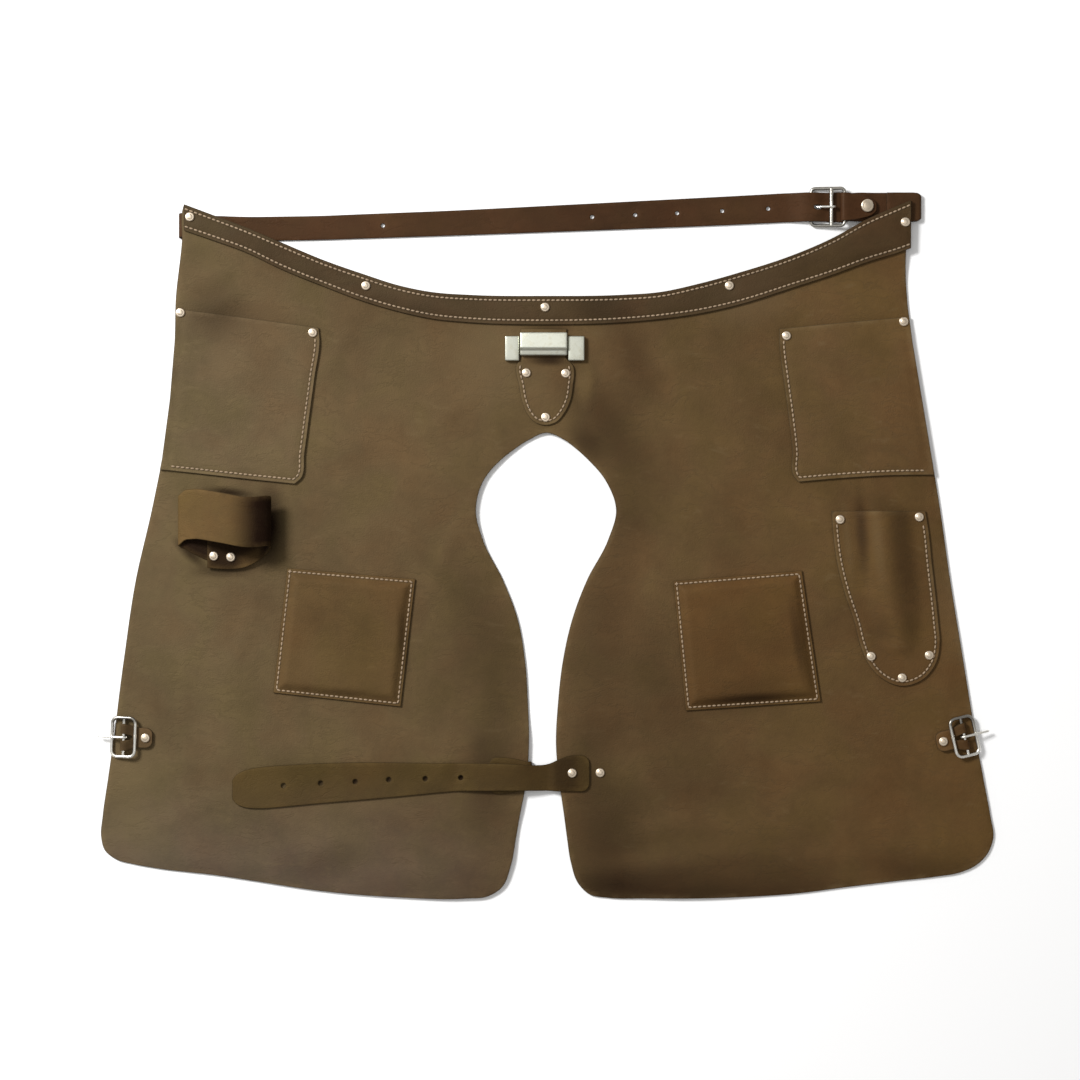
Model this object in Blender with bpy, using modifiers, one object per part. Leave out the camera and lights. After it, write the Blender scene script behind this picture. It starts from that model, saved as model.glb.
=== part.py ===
"""Split-leg leather work apron, laid flat with its front up.

Lengths in the tables are millimetres and become metres when a mesh is made. X runs to the right of
the centre line, Y up towards the waist from the middle of the apron, Z up from the surface it lies on.
"""

import math
from collections import namedtuple

import bmesh
import bpy
import numpy as np
from mathutils import Matrix, Vector
from mathutils.geometry import delaunay_2d_cdt

MM = 0.001
PART_NAME = "split_leg_apron"

# Leather and seams
HIDE = 2.0
BELT_HIDE = 2.2
CHAPE_HIDE = 1.6
GAP = 0.3
FOLD_GAP = 0.8
PANEL_STEP = 28.0
PIECE_STEP = 17.0
BEND_LIMIT = 0.17

# Panel outline: where each side and each edge of the split stands at a height y
Section = namedtuple("Section", "y left_out left_in right_in right_out")
SECTIONS = (
    Section(335, -362, None, None, 364),
    Section(303, -363, None, None, 360),
    Section(243, -370, None, None, 361),
    Section(203, -371, None, None, 366),
    Section(143, -376, None, None, 376),
    Section(103, None, -17, 18, None),
    Section(94, None, -31, 30, None),
    Section(83, -384, -45, 42, 386),
    Section(63, None, -62, 59, None),
    Section(33, -394, -70, 70, 394),
    Section(3, None, -63, 62, None),
    Section(-37, -410, -43, 41, 404),
    Section(-77, None, -28, 26, None),
    Section(-117, -422, -21, 17, 417),
    Section(-160, None, -18, 12, None),
    Section(-202, -433, -17, 10, 431),
    Section(-237, -438, -19.5, 13, 437.5),
    Section(-272, -443, -26, 18, 444),
    Section(-295, -444.5, -30, 21, 447.1),
)
SPLIT_TOP = (0.5, 110.0)

Point = namedtuple("Point", "x y")
LEFT_HEM = (
    Point(-441, -307), Point(-430, -316), Point(-412, -321), Point(-390, -325), Point(-330, -332),
    Point(-290, -338), Point(-231, -347), Point(-150, -354), Point(-80, -355.2), Point(-58, -353),
    Point(-44, -344), Point(-35, -322),
)
RIGHT_HEM = (
    Point(25, -320), Point(32, -340), Point(43, -351), Point(62, -354.6), Point(100, -355.2),
    Point(180, -354.5), Point(254, -350), Point(300, -344), Point(350, -338), Point(390, -333.5),
    Point(415, -329), Point(430, -322), Point(441, -311),
)

# Waistband: its upper edge is the panel's waist edge
Band = namedtuple("Band", "x top bottom")
WAISTBAND = (
    Band(-361, 338, 311.5), Band(-329, 326, 300.5), Band(-300, 315, 290), Band(-264, 300, 273),
    Band(-223, 283, 256.5), Band(-183, 269, 241.5), Band(-147, 257.5, 231), Band(-115, 251, 224),
    Band(-75, 248, 220), Band(0, 247, 218), Band(75, 248, 220), Band(115, 251, 223.5),
    Band(154, 259.5, 229), Band(192, 270, 237.5), Band(246, 287.5, 254.5), Band(286, 304.5, 267.5),
    Band(322, 324, 280.5), Band(350, 336, 289), Band(364, 342, 294),
)
BAND_INSET = 0.4

# Soft folds that lift the panel off the surface: centre, half length, half width, turn, height
Fold = namedtuple("Fold", "x y length width turn height")
FOLDS = (
    Fold(52, 84, 105, 62, -52, 6.0),
    Fold(-66, 52, 95, 52, 55, 2.6),
    Fold(-316, -168, 92, 40, 84, 2.6),
    Fold(-64, -322, 74, 46, 18, 4.2),
    Fold(150, -332, 96, 40, 3, 3.6),
    Fold(66, -106, 92, 40, -14, 2.6),
    Fold(386, -292, 66, 44, -24, 2.6),
    Fold(-296, 196, 62, 34, 62, 1.8),
    Fold(296, 204, 66, 36, -55, 1.6),
    Fold(-176, 92, 96, 50, -32, 1.8),
    Fold(182, 52, 104, 48, 34, 1.8),
    Fold(-208, -306, 84, 36, 8, 2.0),
)

# Waist belt, laid behind the waist: centre height and width at a distance x
Station = namedtuple("Station", "x y width")
BELT = (
    Station(-364, 316, 24), Station(-300, 314, 24), Station(-237, 314.5, 24), Station(-86, 320, 25),
    Station(50, 326, 27), Station(170, 331.5, 28.5), Station(240, 335, 29), Station(262, 335.5, 29),
)
BELT_FOLD_LEFT = -364.2
BELT_ANCHOR_LEFT = -338.0
BELT_END = 312.0
BELT_HOLES = (-163, 46, 89, 131, 176, 222)
BELT_HOLE = 4.0

# Waist buckle: a frame with a far rail under the belt, a middle bar and a heel bar in the chape
WAIST_BUCKLE = Point(0, 335.5)
FAR_RAIL, MIDDLE_BAR, HEEL_BAR = 265.0, 285.0, 298.0
FRAME_HALF = 18.6
FRAME_WIRE = 1.7
MIDDLE_WIRE = 2.2
FAR_HEIGHT, HEEL_HEIGHT = 1.8, 6.7
CHAPE_WIDTH = 29.0
CHAPE_FOLD = 372.4
CHAPE_ANCHOR = 340.0
CHAPE_TAIL = 330.0

# Leg straps: the right one lies across the split and the left leg, the left one round the leg's edge
Strap = namedtuple("Strap", "x y z width")
LEG_STRAP_RIGHT = (
    Strap(43.5, -230, 0, 20), Strap(42, -230, 0, 29), Strap(38.5, -230, 0, 35), Strap(26, -230, 0, 36),
    Strap(13, -232, 3.4, 32), Strap(2, -234, 4.8, 26.5), Strap(-11, -234.5, 7.0, 25.5),
    Strap(-26, -234, 9.3, 26), Strap(-42, -233.5, 9.9, 27), Strap(-60, -233.5, 8.8, 27.5),
    Strap(-84, -233.5, 6.4, 28), Strap(-121, -235, 0, 31), Strap(-157, -236.5, 0, 35),
    Strap(-191, -238, 0, 38), Strap(-225, -239.8, 0, 40), Strap(-262, -242.5, 0, 41.5),
    Strap(-288, -244.5, 0, 41), Strap(-301, -245.3, 0, 37), Strap(-308.5, -245.8, 0, 30),
    Strap(-313, -246, 0, 19),
)
LEG_STRAP_HOLES = (Point(-262, -242), Point(-225, -239.5), Point(-190.5, -238), Point(-157, -236),
                   Point(-120.5, -235), Point(-85, -234))
LEG_STRAP_HOLE = 5.0
LEFT_STRAP_EDGE = -17.2
LEFT_STRAP_END = -57.0
LEFT_STRAP_REACH = 308.0
LEFT_STRAP_Y, LEFT_STRAP_SLOPE = -232.0, 0.033

# Leg buckles: distances outward from the chape's rivet, in a frame turned to the leg's side
LegBuckle = namedtuple("LegBuckle", "side x y turn")
LEG_BUCKLES = (LegBuckle("left", -400.0, -194.5, 178.0), LegBuckle("right", 396.5, -198.0, 13.0))
INNER_RAIL, CENTRE_BAR, OUTER_RAIL = 10.0, 21.5, 33.5
LEG_FRAME_HALF = 19.4
CENTRE_BAR_HEIGHT = 6.3
FRAME_SLOPE = -0.157
BAR_WIRE = 1.5
TONGUE_WIRE = 1.2
TONGUE_REACH = 25.5
SLOT_WIDTH = 4.2

# Upper pockets: outer corner heights on the panel's side, then the inner side and the bottom
POCKET_LEFT_INNER = (Point(-227, 215), Point(-226, 205), Point(-231, 165), Point(-236, 128),
                     Point(-241, 90), Point(-245, 64), Point(-251, 59))
POCKET_LEFT_BOTTOM = (Point(-251, 59), Point(-300, 64), Point(-345, 69), Point(-382, 73))
POCKET_RIGHT_INNER = (Point(233, 214), Point(233, 200), Point(237, 165), Point(242, 128),
                      Point(246, 92), Point(247.5, 66), Point(252, 61))
POCKET_RIGHT_BOTTOM = (Point(252, 61), Point(300, 65), Point(345, 67.5), Point(385, 68))
POCKET_TOP_LEFT, POCKET_TOP_RIGHT = 234.0, 226.0
POCKET_GAPE = 2.2

# Knee patches: corners, then the pad under the leather
PATCH_LEFT = (Point(-258.5, -25), Point(-130.5, -36), Point(-145, -163.5), Point(-272.5, -149.5))
PATCH_RIGHT = (Point(127, -38), Point(255.5, -27.5), Point(274.5, -158.5), Point(139.5, -167.5))
PAD_MARGIN = 12.0
PAD_SHOULDER = 9.0
PAD_RISE = 4.6

# Knife sheath: half widths of its U, its middle, and how far its front stands off at a height y
SheathRow = namedtuple("SheathRow", "y left right middle rise half")
SHEATH = (
    SheathRow(32, 285, 379, 337, 13.5, 31), SheathRow(10, 286.5, 382.5, 339, 13, 31.5),
    SheathRow(-20, 290.5, 385.5, 342, 11.5, 31), SheathRow(-50, 298, 389, 346, 9.5, 30),
    SheathRow(-80, 308, 392, 350, 7, 27), SheathRow(-100, 313, 393.5, 352, 4.5, 24),
)
SHEATH_FOOT = (Point(321, -119.5), Point(334, -134.5), Point(355.5, -143), Point(377, -136),
               Point(390, -119))

# Hammer loop: a strap ring of a drop-shaped section that leans towards the waist
LoopRow = namedtuple("LoopRow", "x z low")
LOOP_RISE = (
    LoopRow(-338, 5.9, -25), LoopRow(-320, 5.9, -26), LoopRow(-303, 5.9, -25), LoopRow(-289, 7.8, -19),
    LoopRow(-278, 13, -10), LoopRow(-274, 20, -4), LoopRow(-277, 27.5, -3), LoopRow(-286, 32.8, -4),
    LoopRow(-299, 34.2, -4), LoopRow(-316, 32, -1), LoopRow(-333, 26.3, 2), LoopRow(-348, 17.6, 4),
    LoopRow(-359.5, 9.9, 3),
)
LOOP_BASE = (LoopRow(-357, 3.4, -8), LoopRow(-338, 3.4, -17), LoopRow(-306, 3.4, -20))
LOOP_FOLD = LoopRow(-364.4, 5.2, -2)
LOOP_FOLD_RADIUS = 1.8
LOOP_WIDTH = 50.0

# Magnet bar and its tab, under the middle of the waistband
MAGNET_TAB = (Point(-25.4, 214), Point(-25.4, 184), Point(-29.5, 178), Point(-27, 157), Point(-24, 141),
              Point(-19, 129), Point(-12, 121), Point(-0.5, 117.5), Point(11, 121), Point(18, 129),
              Point(24, 141), Point(27, 157), Point(26.5, 178), Point(20.6, 184), Point(20.6, 214))
Block = namedtuple("Block", "name x0 x1 y0 y1 foot height")
MAGNET_BLOCKS = (
    Block("magnet_body", -26.0, 21.2, 187.0, 210.0, 2 * (HIDE + GAP), 8.2),
    Block("magnet_end_left", -41.0, -26.8, 182.0, 206.6, HIDE + GAP, 5.6),
    Block("magnet_end_right", 22.0, 38.4, 182.0, 206.6, HIDE + GAP, 5.6),
)

# Rivets: place, radius, cap height and the leather layers under the cap
Rivet = namedtuple("Rivet", "name x y radius rise layers")
RIVETS = (
    Rivet("waist_1", -355, 325, 4.7, 2.0, 2), Rivet("waist_2", -180, 257, 4.7, 2.0, 2),
    Rivet("waist_3", -1, 235.5, 4.7, 2.0, 2), Rivet("waist_4", 183, 257, 4.7, 2.0, 2),
    Rivet("waist_5", 358, 320, 4.7, 2.0, 2), Rivet("pocket_1", -365, 230, 4.7, 2.0, 2),
    Rivet("pocket_2", -233, 210, 4.7, 2.0, 2), Rivet("pocket_3", 240, 207, 4.7, 2.0, 2),
    Rivet("pocket_4", 357, 221, 4.7, 2.0, 2), Rivet("tab_1", -19.7, 170, 4.7, 2.0, 2),
    Rivet("tab_2", 19.5, 169.5, 4.7, 2.0, 2), Rivet("tab_3", -0.5, 125.5, 4.7, 2.0, 2),
    Rivet("sheath_1", 293.5, 23.5, 4.7, 2.0, 2), Rivet("sheath_2", 372.5, 26, 4.7, 2.0, 2),
    Rivet("sheath_3", 324.5, -113, 4.7, 2.0, 2), Rivet("sheath_4", 382.5, -112, 4.7, 2.0, 2),
    Rivet("sheath_5", 355.5, -134.5, 4.7, 2.0, 2), Rivet("loop_1", -331.5, -13, 4.7, 2.0, 0),
    Rivet("loop_2", -314.5, -14, 4.7, 2.0, 0), Rivet("strap_1", 26, -229.5, 4.7, 2.0, 2),
    Rivet("strap_2", 54, -229.5, 4.7, 2.0, 1), Rivet("strap_3", -41, -232, 4.0, 1.0, 2),
)
RIVET_STEPS = 10
BELT_RIVET = Rivet("belt", 320.5, 336.5, 6.6, 2.2, 0)


def clear_scene():
    for obj in list(bpy.data.objects):
        bpy.data.objects.remove(obj, do_unlink=True)


def new_collection(name, hidden=False):
    collection = bpy.data.collections.new(name)
    collection.hide_render = hidden
    bpy.context.scene.collection.children.link(collection)
    return collection


def make_material(name, colour, roughness, metallic=0.0):
    material = bpy.data.materials.new(name)
    material.use_nodes = True
    shader = material.node_tree.nodes["Principled BSDF"]
    shader.inputs["Base Color"].default_value = (*colour, 1.0)
    shader.inputs["Roughness"].default_value = roughness
    shader.inputs["Metallic"].default_value = metallic
    return material


# Curves and surfaces


def smooth_path(points, step):
    """Points about `step` apart on a smooth curve through `points`."""
    given = np.array(points, float)
    along = np.concatenate([[0.0], np.cumsum(np.linalg.norm(np.diff(given, axis=0), axis=1))])
    slope = np.gradient(given, along, axis=0)
    path = [given[0]]
    for i in range(len(given) - 1):
        span = along[i + 1] - along[i]
        count = max(1, round(span / step))
        for k in range(1, count + 1):
            t = k / count
            path.append(
                (2 * t**3 - 3 * t**2 + 1) * given[i]
                + (t**3 - 2 * t**2 + t) * span * slope[i]
                + (3 * t**2 - 2 * t**3) * given[i + 1]
                + (t**3 - t**2) * span * slope[i + 1]
            )
    return np.array(path)


def smooth_step(value):
    value = np.clip(value, 0.0, 1.0)
    return value * value * (3 - 2 * value)


def distance_to_segment(x, y, start, end):
    run = (end[0] - start[0], end[1] - start[1])
    share = ((x - start[0]) * run[0] + (y - start[1]) * run[1]) / (run[0] ** 2 + run[1] ** 2)
    share = np.clip(share, 0.0, 1.0)
    return np.hypot(x - start[0] - share * run[0], y - start[1] - share * run[1])


def distance_to_outline(x, y, outline):
    pairs = zip(outline, np.roll(outline, -1, axis=0))
    return np.min([distance_to_segment(x, y, a, b) for a, b in pairs], axis=0)


def is_inside(x, y, outline):
    inside = np.zeros(np.shape(x), bool)
    for a, b in zip(outline, np.roll(outline, -1, axis=0)):
        if a[1] == b[1]:
            continue
        crosses = (a[1] > y) != (b[1] > y)
        inside ^= crosses & (x < a[0] + (y - a[1]) * (b[0] - a[0]) / (b[1] - a[1]))
    return inside


def plateau(x, y, start, end, reach, ramp):
    """1 within `reach` of a segment, falling softly to 0 over `ramp`."""
    return smooth_step((reach + ramp - distance_to_segment(x, y, start, end)) / ramp)


# Heights of the layers

BELT_LAYER = BELT_HIDE + FOLD_GAP
ONE_LAYER = 2.75
LEFT_STRAP_TIP = LEFT_STRAP_EDGE - LEFT_STRAP_REACH


def left_strap_y(x):
    return LEFT_STRAP_Y + LEFT_STRAP_SLOPE * (x - LEFT_STRAP_EDGE)


def lift(x, y):
    """How far the panel's underside stands off the surface."""
    height = ONE_LAYER * (
        plateau(x, y, (-364, 318), (-262, 315), 16, 62)
        + plateau(x, y, (-364, 318), (-326, 319), 18, 58)
        + plateau(x, y, (322, 336), (372, 336), 21, 62)
        + plateau(x, y, (338, 336), (372, 336), 23, 58)
    )
    strap_tip = (LEFT_STRAP_TIP, left_strap_y(LEFT_STRAP_TIP))
    height = height + (HIDE + GAP) * plateau(x, y, (-10, LEFT_STRAP_Y), strap_tip, 24, 44)
    for fold in FOLDS:
        turn = math.radians(fold.turn)
        dx, dy = x - fold.x, y - fold.y
        along = (dx * math.cos(turn) + dy * math.sin(turn)) / fold.length
        across = (dy * math.cos(turn) - dx * math.sin(turn)) / fold.width
        height = height + fold.height * np.clip(1 - along**2 - across**2, 0, 1) ** 2
    return height


def on_panel(x, y):
    return lift(x, y) + HIDE + GAP


# Mesh makers


def lattice(outline, step, shift=0.0):
    low, high = outline.min(axis=0), outline.max(axis=0)
    points = []
    for row, y in enumerate(np.arange(low[1] + shift * step, high[1], step * 0.87)):
        offset = (shift + 0.5 * (row % 2)) * step
        points += [(x, y) for x in np.arange(low[0] + offset, high[0], step)]
    return np.array(points)


def filled(outline, step, surface):
    """Triangles that fill an outline, finer where the surface bends: a bmesh at `surface` heights."""
    outline = np.array(outline, float)[:, :2]
    area = np.sum(outline[:, 0] * np.roll(outline[:, 1], -1) - outline[:, 1] * np.roll(outline[:, 0], -1))
    if area < 0:
        outline = outline[::-1]
    half = step / 2
    coarse = lattice(outline, step)
    fine = lattice(outline, half, 0.25)
    x, y = fine.T
    bend = np.abs(surface(x + half, y) + surface(x - half, y) - 2 * surface(x, y))
    bend += np.abs(surface(x, y + half) + surface(x, y - half) - 2 * surface(x, y))
    fine = fine[bend > 2 * BEND_LIMIT]
    inner = np.concatenate([coarse, fine])
    if len(fine):
        near = np.min(np.hypot(coarse[:, None, 0] - fine[None, :, 0],
                               coarse[:, None, 1] - fine[None, :, 1]), axis=1)
        inner = np.concatenate([coarse[near > 0.45 * half], fine])
    x, y = inner.T
    inner = inner[is_inside(x, y, outline) & (distance_to_outline(x, y, outline) > 0.4 * half)]
    points = [Vector(p) for p in np.concatenate([outline, inner])]
    ring = [list(range(len(outline)))]
    places, _, faces, *_ = delaunay_2d_cdt(points, [], ring, 1, 1e-4)
    mesh = bmesh.new()
    made = [mesh.verts.new((p.x, p.y, float(surface(np.float64(p.x), np.float64(p.y))))) for p in places]
    for face in faces:
        mesh.faces.new([made[i] for i in face])
    for face in mesh.faces:
        face.normal_update()
        if face.normal.z < 0:
            face.normal_flip()
    return mesh


def add_object(name, mesh, collection, material, smooth=True):
    """A named object from a bmesh in millimetres."""
    bmesh.ops.scale(mesh, vec=Vector((MM, MM, MM)), verts=mesh.verts)
    data = bpy.data.meshes.new(name)
    mesh.to_mesh(data)
    mesh.free()
    if smooth:
        data.shade_smooth()
        data.set_sharp_from_angle(angle=math.radians(35))
    data.materials.append(material)
    obj = bpy.data.objects.new(name, data)
    collection.objects.link(obj)
    return obj


def give_wall(obj, thickness, offset):
    wall = obj.modifiers.new("wall", "SOLIDIFY")
    wall.thickness = thickness * MM
    wall.offset = offset
    wall.use_even_offset = offset == 0
    return obj


def sheet(name, outline, step, surface, thickness, collection, material):
    """A leather piece cut to an outline, its underside on `surface`."""
    obj = add_object(name, filled(outline, step, surface), collection, material)
    return give_wall(obj, thickness, 1.0)


def ribbon(name, rows, across, thickness, collection, material, columns=2, seat=None):
    """A strap whose middle layer runs through rows of (x, y, z, width)."""
    mesh = bmesh.new()
    lines = []
    for x, y, z, width in rows:
        line = []
        for k in range(columns + 1):
            side = width * (k / columns - 0.5)
            px, py = x + across[0] * side, y + across[1] * side
            pz = z if seat is None else max(z, float(seat(np.float64(px), np.float64(py))) + thickness / 2)
            line.append(mesh.verts.new((px, py, pz)))
        lines.append(line)
    for first, second in zip(lines, lines[1:]):
        for k in range(columns):
            mesh.faces.new((first[k], first[k + 1], second[k + 1], second[k]))
    obj = add_object(name, mesh, collection, material)
    return give_wall(obj, thickness, 0.0)


def arc(centre_x, centre_z, radius, start, end, count):
    angles = np.radians(np.linspace(start, end, count))
    return [(centre_x + radius * math.cos(a), centre_z + radius * math.sin(a)) for a in angles]


def tube(name, points, radius, collection, material, closed=False):
    """A round wire through points in millimetres, made a mesh with its caps welded."""
    curve = bpy.data.curves.new(name, "CURVE")
    curve.dimensions = "3D"
    curve.bevel_depth = radius * MM
    curve.bevel_resolution = 2
    curve.use_fill_caps = not closed
    spline = curve.splines.new("POLY")
    spline.points.add(len(points) - 1)
    for place, point in zip(spline.points, points):
        place.co = (*(Vector(point) * MM), 1.0)
    spline.use_cyclic_u = closed
    guide = bpy.data.objects.new(name + "_curve", curve)
    collection.objects.link(guide)
    bpy.context.view_layer.update()
    evaluated = guide.evaluated_get(bpy.context.evaluated_depsgraph_get())
    data = bpy.data.meshes.new_from_object(evaluated)
    mesh = bmesh.new()
    mesh.from_mesh(data)
    bmesh.ops.remove_doubles(mesh, verts=mesh.verts, dist=1e-6)
    mesh.to_mesh(data)
    mesh.free()
    bpy.data.objects.remove(guide, do_unlink=True)
    data.name = name
    data.shade_smooth()
    data.set_sharp_from_angle(angle=math.radians(50))
    data.materials.clear()
    data.materials.append(material)
    obj = bpy.data.objects.new(name, data)
    collection.objects.link(obj)
    return obj


def cylinders(name, places, radius, low, high, collection, sides=12):
    """Upright cutters at the given places."""
    mesh = bmesh.new()
    for place in places:
        middle = Matrix.Translation((place[0], place[1], (low + high) / 2))
        bmesh.ops.create_cone(mesh, cap_ends=True, segments=sides, radius1=radius, radius2=radius,
                              depth=high - low, matrix=middle)
    return as_cutter(add_object(name, mesh, collection, cutter_material(), smooth=False))


def box_cutter(name, low, high, collection):
    mesh = bmesh.new()
    size = [b - a for a, b in zip(low, high)]
    middle = [(a + b) / 2 for a, b in zip(low, high)]
    bmesh.ops.create_cube(mesh, size=1.0, matrix=Matrix.Translation(middle) @ Matrix.Diagonal((*size, 1)))
    return as_cutter(add_object(name, mesh, collection, cutter_material(), smooth=False))


def cutter_material():
    found = bpy.data.materials.get("cutter")
    return found or make_material("cutter", (0.8, 0.2, 0.2), 0.5)


def as_cutter(obj):
    obj.hide_render = True
    obj.display_type = "WIRE"
    return obj


def boolean(obj, other, operation):
    modifier = obj.modifiers.new(operation.lower(), "BOOLEAN")
    modifier.operation = operation
    modifier.solver = "EXACT"
    modifier.object = other
    return obj


# Apron pieces


def panel_outline():
    left = [(s.left_out, s.y) for s in SECTIONS if s.left_out is not None]
    inner_left = [(s.left_in, s.y) for s in reversed(SECTIONS) if s.left_in is not None]
    inner_right = [(s.right_in, s.y) for s in SECTIONS if s.right_in is not None]
    right = [(s.right_out, s.y) for s in reversed(SECTIONS) if s.right_out is not None]
    rim = [(WAISTBAND[0].x, WAISTBAND[0].top), *left, *LEFT_HEM, *inner_left, SPLIT_TOP,
           *inner_right, *RIGHT_HEM, *right, (WAISTBAND[-1].x, WAISTBAND[-1].top)]
    waist = [(b.x, b.top) for b in reversed(WAISTBAND)]
    return np.concatenate([smooth_path(rim, 0.8 * PANEL_STEP)[:-1], smooth_path(waist, PIECE_STEP)[:-1]])


def add_panel(parts, leather):
    sheet("apron_panel", panel_outline(), PANEL_STEP, lift, HIDE, parts, leather)


def add_waistband(parts, leather):
    top = smooth_path([(b.x, b.top - BAND_INSET) for b in WAISTBAND], PIECE_STEP)
    bottom = smooth_path([(b.x, b.bottom) for b in reversed(WAISTBAND)], PIECE_STEP)
    outline = np.concatenate([top, bottom])
    sheet("waistband", outline, PIECE_STEP, on_panel, HIDE, parts, leather)


def pocket_surface(top_y, inner_x, outer_x):
    """The pocket's front stands off most at the middle of its mouth."""
    middle, half = (inner_x + outer_x) / 2, abs(outer_x - inner_x) / 2

    def surface(x, y):
        across = np.clip(1 - ((x - middle) / half) ** 2, 0, 1)
        down = np.clip(1 - (top_y - y) / 120.0, 0, 1)
        return on_panel(x, y) + POCKET_GAPE * across**3 * down**2

    return surface


def side_point(outer, y, inset):
    """A point on the panel's outer side at height y, moved in by `inset`."""
    known = [(s.y, getattr(s, outer)) for s in reversed(SECTIONS) if getattr(s, outer) is not None]
    x = float(np.interp(y, *zip(*known)))
    return (x - math.copysign(inset, x), y)


def add_pocket(side, inner, bottom, top_y, parts, leather):
    outer = side + "_out"
    heights = np.linspace(bottom[-1].y, top_y, 7)
    edge = [side_point(outer, y, BAND_INSET) for y in heights]
    outline = np.concatenate([
        smooth_path(inner, PIECE_STEP)[:-1], smooth_path(bottom, PIECE_STEP)[:-1],
        [side_point(outer, bottom[-1].y, BAND_INSET)], edge[1:],
    ])
    mouth = smooth_path([edge[-1], inner[0]], PIECE_STEP)[1:-1]
    surface = pocket_surface(top_y, inner[0].x, edge[-1][0])
    sheet("pocket_" + side, np.concatenate([outline, mouth]), PIECE_STEP, surface, HIDE, parts, leather)


def add_knee_patch(side, corners, parts, leather):
    """A leather square sewn over a pad: its top rises inside the seam."""
    corners = np.array(corners, float)
    outline = []
    for a, b in zip(corners, np.roll(corners, -1, axis=0)):
        outline += list(smooth_path([a, b], PIECE_STEP)[:-1])
    mesh = filled(outline, PIECE_STEP * 0.7, on_panel)
    top = bmesh.ops.extrude_face_region(mesh, geom=list(mesh.faces))
    for vert in [g for g in top["geom"] if isinstance(g, bmesh.types.BMVert)]:
        x, y = np.float64(vert.co.x), np.float64(vert.co.y)
        inwards = float(distance_to_outline(x, y, corners))
        vert.co.z += HIDE + PAD_RISE * float(smooth_step((inwards - PAD_MARGIN + PAD_SHOULDER) / PAD_SHOULDER))
    bmesh.ops.recalc_face_normals(mesh, faces=mesh.faces)
    add_object("knee_patch_" + side, mesh, parts, leather)


def sheath_surface(x, y):
    levels = [row.y for row in reversed(SHEATH)]

    def column(name):
        return np.interp(y, levels, [getattr(row, name) for row in reversed(SHEATH)])

    foot = SHEATH[-1].y
    fade = smooth_step((y - foot + 18) / 18)
    across = np.clip(np.abs(x - column("middle")) / column("half"), 0, 1)
    return on_panel(x, y) + column("rise") * fade * np.cos(across * math.pi / 2) ** 2


def add_sheath(parts, leather):
    left = [(row.left, row.y) for row in SHEATH]
    right = [(row.right, row.y) for row in reversed(SHEATH)]
    side = smooth_path([*left, *SHEATH_FOOT, *right], 13.0)
    mouth = smooth_path([right[-1], left[0]], 8.0)[1:-1]
    outline = np.concatenate([side, mouth])
    sheet("knife_sheath", outline, 13.0, sheath_surface, HIDE, parts, leather)


def add_hammer_loop(parts, leather):
    ring = [(row.x, row.z, row.low) for row in LOOP_RISE]
    ring = list(smooth_path(ring, 9.0))
    for x, z in arc(LOOP_FOLD.x, LOOP_FOLD.z, LOOP_FOLD_RADIUS, 128, 270, 7):
        share = (z - LOOP_BASE[0].z) / (LOOP_RISE[-1].z - LOOP_BASE[0].z)
        ring.append((x, z, LOOP_FOLD.low + 4 * (share - 0.5)))
    ring += [(row.x, row.z, row.low) for row in LOOP_BASE]
    rows = [(x, low + LOOP_WIDTH / 2, z, LOOP_WIDTH) for x, z, low in ring]
    ribbon("hammer_loop", rows, (0, 1), BELT_HIDE, parts, leather, columns=3)


def add_magnet(parts, leather, steel):
    outline = smooth_path(MAGNET_TAB, 9.0)
    sheet("magnet_tab", outline, PIECE_STEP, on_panel, HIDE, parts, leather)
    for block in MAGNET_BLOCKS:
        mesh = bmesh.new()
        size = (block.x1 - block.x0, block.y1 - block.y0, block.height, 1)
        middle = ((block.x0 + block.x1) / 2, (block.y0 + block.y1) / 2, block.foot + block.height / 2)
        bmesh.ops.create_cube(mesh, size=1.0, matrix=Matrix.Translation(middle) @ Matrix.Diagonal(size))
        obj = add_object(block.name, mesh, parts, steel)
        bevel = obj.modifiers.new("round", "BEVEL")
        bevel.width = 1.2 * MM
        bevel.segments = 2


# Belt and buckles


def belt_line(x):
    known = [(s.x, s.y, s.width) for s in BELT]
    xs, ys, widths = zip(*known)
    return float(np.interp(x, xs, ys)), float(np.interp(x, xs, widths))


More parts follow.
